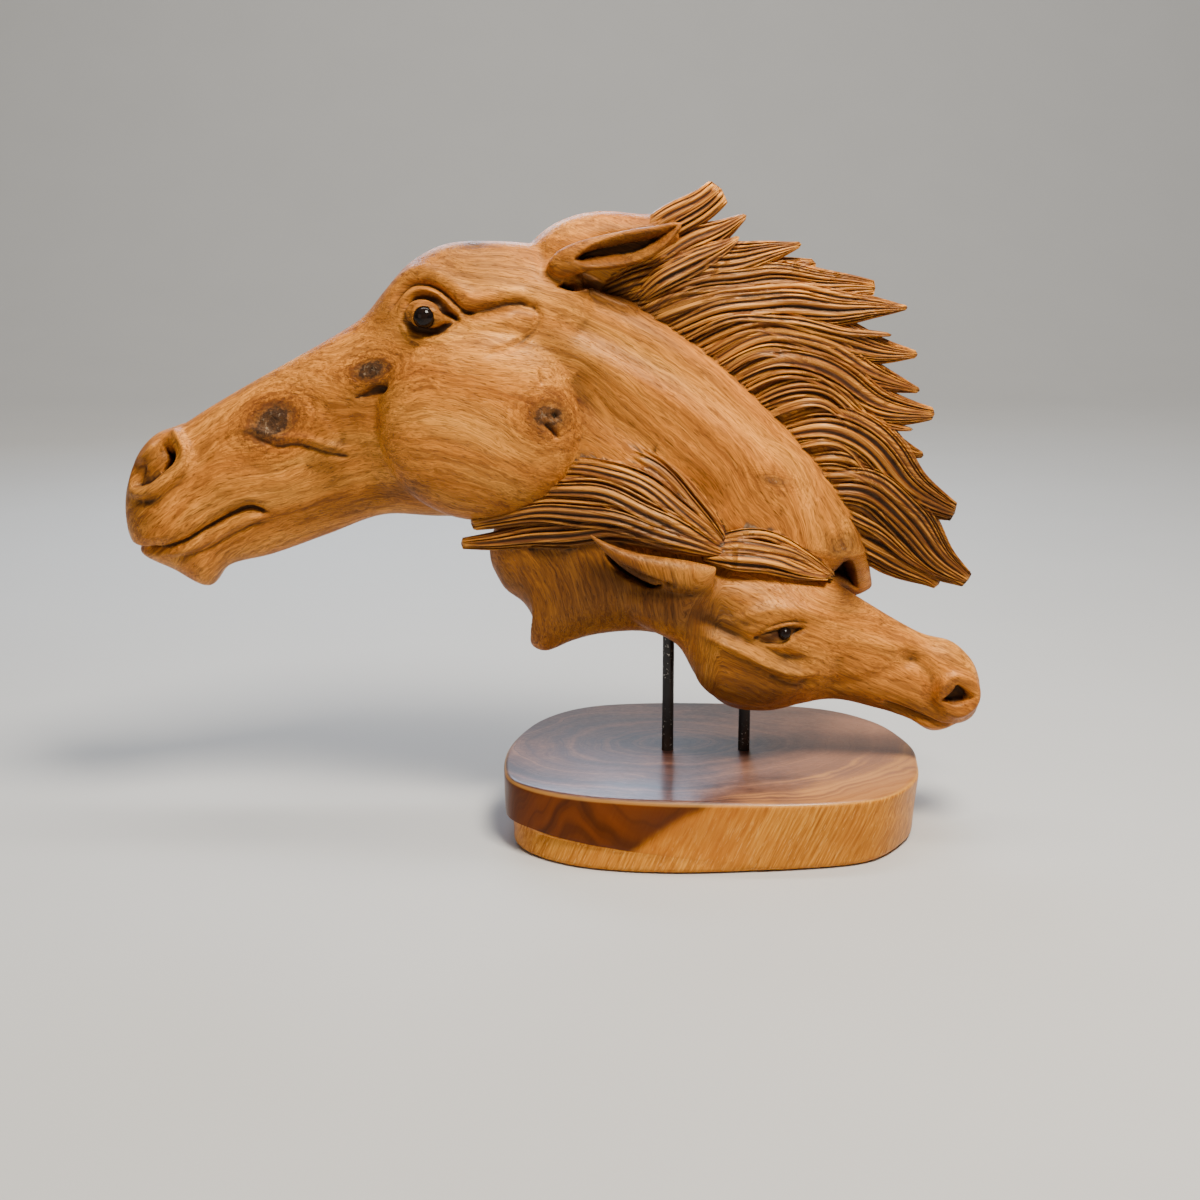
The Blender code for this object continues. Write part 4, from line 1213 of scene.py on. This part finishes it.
def slab_side(n, axes, bands, sap, waver):
    """The side's colour: sapwood, with the heartwood's dark band at the left."""
    x, _, z = axes
    line = n.minus(n.plus(n.times(x, -HEART_SLOPE), HEART_HEIGHT), n.times(x, x, HEART_BEND))
    above = n.between(n.minus(z, line), -0.0003, 0.0006)
    diagonal = n.plus(n.plus(n.plus(x, n.times(z, -1.5)), 0.075), n.times(waver, 0.8))
    side_heart = n.times(above, n.between(diagonal, 0.004, -0.012))
    streak = n.times(n.between(diagonal, 0.004, -0.006), n.between(diagonal, -0.050, -0.012))
    band = n.mix(n.between(bands, 0.36, 0.60), (0.036, 0.007, 0.002), (0.130, 0.027, 0.003))
    band = n.mix(n.times(streak, 0.55), band, (0.045, 0.012, 0.006))
    near_band = n.times(n.between(diagonal, 0.075, 0.0), above)
    side = n.mix(n.times(near_band, 0.6), sap, (0.38, 0.105, 0.010))
    return n.mix(n.times(side_heart, 0.95), side, band)


def slab_top(n, axes, bands, heart, waver):
    """The top's colour: heartwood, with pale sapwood at the right and the front."""
    x, y, _ = axes
    front = n.plus(n.times(x, 0.676), n.times(n.plus(y, 0.110), -0.737))
    ragged = n.plus(n.plus(front, n.times(waver, 2.0)), n.between(bands, 0.3, 0.7, -0.022, 0.022))
    pale = n.mix(n.between(bands, 0.35, 0.62), (0.30, 0.105, 0.026), (0.52, 0.225, 0.060))
    return n.mix(n.times(n.between(ragged, 0.004, 0.046), 0.8), heart, pale)


def slab_wood():
    n = Nodes("slab wood")
    spot = n.place()
    axes = x, y, z = n.split(spot)
    wobble = n.noise(spot, (12, 15, 6), 3.0)
    # Rings lie round the pith, a little behind and left of the middle, and lean with the height.
    rx = n.plus(n.plus(x, n.times(z, 0.22)), 0.012)
    ry = n.times(n.plus(y, -0.012), 1.55)
    radius = n.math('SQRT', n.plus(n.times(rx, rx), n.times(ry, ry)))
    radius = n.plus(radius, n.between(wobble, 0.2, 0.8, -0.014, 0.014))
    flat = n.vector(radius)
    bands = n.noise(flat, 75.0, 4.0, 0.6)
    lines = n.noise(flat, 420.0)
    clouds = n.noise(spot, (18, 26, 10), 4.0, 0.6)
    fibre_top = n.noise(spot, (300, 520, 30), 3.0, 0.6)
    slant = n.vector(n.plus(x, n.times(z, -0.45)), y, z)
    fibre_side = n.noise(slant, (560, 430, 38), 4.0, 0.65)
    fleck_side = n.noise(slant, (900, 650, 150))
    waver = n.between(n.noise(spot, 24.0, 3.0), 0.2, 0.8, -0.008, 0.008)

    heart, sap = heart_and_sap(n, spot, x, bands, lines, clouds, fibre_top, fibre_side, fleck_side)
    _, _, up = n.split(n.add("NewGeometry", {}).outputs["Normal"])
    flat_share = n.between(up, 0.55, 0.85)
    side = slab_side(n, axes, bands, sap, waver)
    top = slab_top(n, axes, bands, heart, waver)
    colour = n.mix(flat_share, side, top)
    rim = n.times(n.between(up, 0.25, 0.50), n.between(up, 0.92, 0.66))
    colour = n.mix(n.times(rim, 0.4), colour, (0.62, 0.31, 0.08))
    height = n.plus(n.times(fibre_side, 0.4), n.times(bands, 0.25))
    return n.finish(Base_Color=colour, Roughness=n.between(fibre_top, 0.2, 0.8, 0.38, 0.27),
                    Specular_IOR_Level=n.plus(n.times(flat_share, 0.18), 0.12),
                    Coat_Weight=n.times(flat_share, 0.15), Coat_Roughness=0.12,
                    Normal=n.bump(height, 0.20, 0.0006))


def black_steel():
    n = Nodes("black painted steel")
    spot = n.place()
    chips = n.noise(spot, 520.0, 3.0, 0.7)
    patches = n.noise(n.stretch(spot, (1, 1, 0.5)), 120.0)
    share = n.times(n.between(chips, 0.60, 0.66), n.between(patches, 0.42, 0.58))
    _, _, height = n.split(spot)
    foot = n.between(height, SLAB_HIGH.z + 0.022, SLAB_HIGH.z, 0.0, 0.5)
    colour = n.mix(foot, (0.010, 0.010, 0.011), (0.060, 0.034, 0.018))
    colour = n.mix(share, colour, (0.55, 0.54, 0.50))
    roughness = n.between(chips, 0.3, 0.7, 0.30, 0.48)
    return n.finish(Base_Color=colour, Roughness=roughness, Metallic=0.25,
                    Normal=n.bump(chips, 0.25, 0.0005))


def eye_gloss():
    n = Nodes("black glass bead")
    depth = n.noise(n.place(), 380.0, 1.0)
    colour = n.mix(n.between(depth, 0.3, 0.7), (0.004, 0.003, 0.003), (0.012, 0.006, 0.004))
    return n.finish(Base_Color=colour, Roughness=0.05, Specular_IOR_Level=0.18)


def wear(obj, material, angle=180):
    obj.data.materials.clear()
    obj.data.materials.append(material)
    obj.data.shade_smooth()
    if angle < 180:
        obj.data.set_sharp_from_angle(angle=math.radians(angle))


# The slab

SLAB_OUTLINE = [
    (1.00, 0.12), (0.90, 0.52), (0.66, 0.83), (0.26, 0.96), (-0.20, 0.99), (-0.60, 0.90),
    (-0.84, 0.60), (-0.97, 0.14), (-1.00, -0.34), (-0.92, -0.68), (-0.62, -0.92), (-0.14, -1.02),
    (0.36, -1.05), (0.74, -0.94), (0.94, -0.60), (1.00, -0.22),
]
SLAB_LENGTH = 0.292
SLAB_DEPTH = 0.216
SLAB_ROUNDING = 0.0038
SLAB_RIPPLE = 0.0004
OUTLINE_STEPS = 14
# Where the side leans or steps in: how far in metres, towards which side in degrees, how narrowly.
SLAB_LEANS = ((0.007, 180, 3), (0.007, -52, 5), (-0.011, -118, 5))
SLAB_STEPS = ((0.0009, -118, 2), (0.0065, 180, 3))
STEP_HEIGHT = 0.0012


def lobes(angle, rows):
    """The sum of some rounded swellings, each towards a side of its own."""
    total = 0.0
    for size, towards, narrow in rows:
        total += size * max(0.0, math.cos(angle - math.radians(towards))) ** narrow
    return total


def slab_ring(inset, height, thickness):
    """The slab's outline at one height. Its live edge leans, and below the heartwood it steps in."""
    closed = [SLAB_OUTLINE[-1]] + SLAB_OUTLINE + SLAB_OUTLINE[:2]
    samples = smooth_rows(closed, OUTLINE_STEPS)[OUTLINE_STEPS:-OUTLINE_STEPS]
    share = height / thickness
    ring = []
    for sx, sy in samples[:OUTLINE_STEPS * len(SLAB_OUTLINE)]:
        angle = math.atan2(sy, sx)
        x, y = sx * SLAB_LENGTH / 2, sy * SLAB_DEPTH / 2
        line = HEART_HEIGHT - HEART_SLOPE * x - HEART_BEND * x * x
        below = min(1.0, max(0.0, (line - height) / STEP_HEIGHT))
        pull = inset + lobes(angle, SLAB_LEANS) * (1 - share) + lobes(angle, SLAB_STEPS) * below
        pull += SLAB_RIPPLE * (1 + math.sin(7 * angle + 9 * share) * math.sin(3 * angle + 4))
        factor = 1 - pull / math.hypot(x, y)
        ring.append((x * factor, y * factor, height))
    return ring


def make_slab():
    thickness = SLAB_HIGH.z - SLAB_LOW.z
    curve = SLAB_ROUNDING
    turns = [math.pi / 2 * i / 6 for i in range(7)]
    levels = 22
    rows = [(curve * (1 - math.sin(turn)), curve * (1 - math.cos(turn))) for turn in turns]
    rows += [(0.0, curve + (thickness - 2 * curve) * i / levels) for i in range(1, levels)]
    rows += [(curve * (1 - math.cos(turn)), thickness - curve + curve * math.sin(turn)) for turn in turns]
    slab = skin("oval_slab", [slab_ring(inset, height, thickness) for inset, height in rows])
    for name in RODS:
        x, y, foot, _, radius = rod_measures(name)
        bore = bar("bore", x, y, foot - FIT, SLAB_HIGH.z + 0.01, radius + FIT)
        boolean(slab, bore, 'DIFFERENCE')
    return slab


# Building

def build():
    carving, bare = make_carving()
    paint_fields(carving, bare)
    wear(carving, carved_wood())
    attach(carving, "root")
    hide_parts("carving")

    slab = make_slab()
    wear(slab, slab_wood(), 40)
    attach(slab, "root")
    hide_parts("slab")

    steel = black_steel()
    for name in RODS:
        x, y, foot, top, radius = rod_measures(name)
        rod = bar("painted_" + name, x, y, foot, top, radius)
        wear(rod, steel, 40)
        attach(rod, "root")
        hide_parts(name)

    gloss = eye_gloss()
    for node, middle, side, centre, diameter in BEADS:
        bead = ball("bead_" + node, middle, side, centre, diameter)
        wear(bead, gloss)
        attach(bead, "root")
        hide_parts(node)


CAMERA_LENS = 50.7
CAMERA_PLACE = (-0.078, -1.15, 0.450)
CAMERA_TILT = 14.294          # degrees down from level


def area_light(name, location, target, size, energy, colour):
    data = bpy.data.lights.new(name, 'AREA')
    data.shape = 'RECTANGLE'
    data.size, data.size_y = size
    data.energy = energy
    data.color = colour
    light = bpy.data.objects.new(name, data)
    light.location = location
    direction = Vector(target) - Vector(location)
    light.rotation_euler = direction.to_track_quat('-Z', 'Y').to_euler()
    bpy.context.scene.collection.objects.link(light)


def sweep(name, half_width=5.0, front=-4.0, back=2.2, bend=1.6, height=4.5):
    """A floor that bends up into a wall behind the object."""
    level = SLAB_LOW.z - 0.0005
    profile = [(front, level), (back, level)]
    for i in range(1, 25):
        turn = math.pi / 2 * i / 24
        profile.append((back + bend * math.sin(turn), level + bend * (1 - math.cos(turn))))
    profile.append((back + bend, level + height))
    points = [(x, y, z) for y, z in profile for x in (-half_width, half_width)]
    faces = [(2 * i, 2 * i + 1, 2 * i + 3, 2 * i + 2) for i in range(len(profile) - 1)]
    mesh = bpy.data.meshes.new(name)
    mesh.from_pydata(points, [], faces)
    return add_object(name, mesh)


def make_studio():
    n = Nodes("pale floor")
    tone = n.mix(n.noise(n.place(), 6.0, 4.0), (0.50, 0.49, 0.47), (0.53, 0.52, 0.50))
    floor = sweep("studio_floor")
    wear(floor, n.finish(Base_Color=tone, Roughness=0.75))

    area_light("key", (0.30, -0.58, 1.40), (-0.05, 0, 0.26), (0.48, 0.48), 43, (1.0, 0.94, 0.84))
    area_light("fill", (-1.3, -1.1, 0.55), (-0.1, 0, 0.25), (0.9, 0.9), 2.2, (1.0, 0.93, 0.86))
    area_light("sheen", (-0.35, 1.25, 0.95), (0, 0, 0.05), (0.9, 0.4), 12, (0.60, 0.76, 1.0))
    area_light("wall", (0.0, 0.6, 3.4), (0.0, 3.4, 0.6), (3.0, 0.8), 110, (1.0, 0.98, 0.95))

    world = bpy.data.worlds.new("studio")
    bpy.context.scene.world = world
    world.use_nodes = True
    background = world.node_tree.nodes["Background"]
    background.inputs["Color"].default_value = (0.90, 0.91, 0.93, 1.0)
    background.inputs["Strength"].default_value = 0.16

    camera_data = bpy.data.cameras.new("photo camera")
    camera_data.sensor_width = 36.0
    camera_data.lens = CAMERA_LENS
    camera = bpy.data.objects.new("photo camera", camera_data)
    camera.location = CAMERA_PLACE
    camera.rotation_euler = (math.radians(90 - CAMERA_TILT), 0, 0)
    bpy.context.scene.collection.objects.link(camera)
    bpy.context.scene.camera = camera


build()
make_studio()
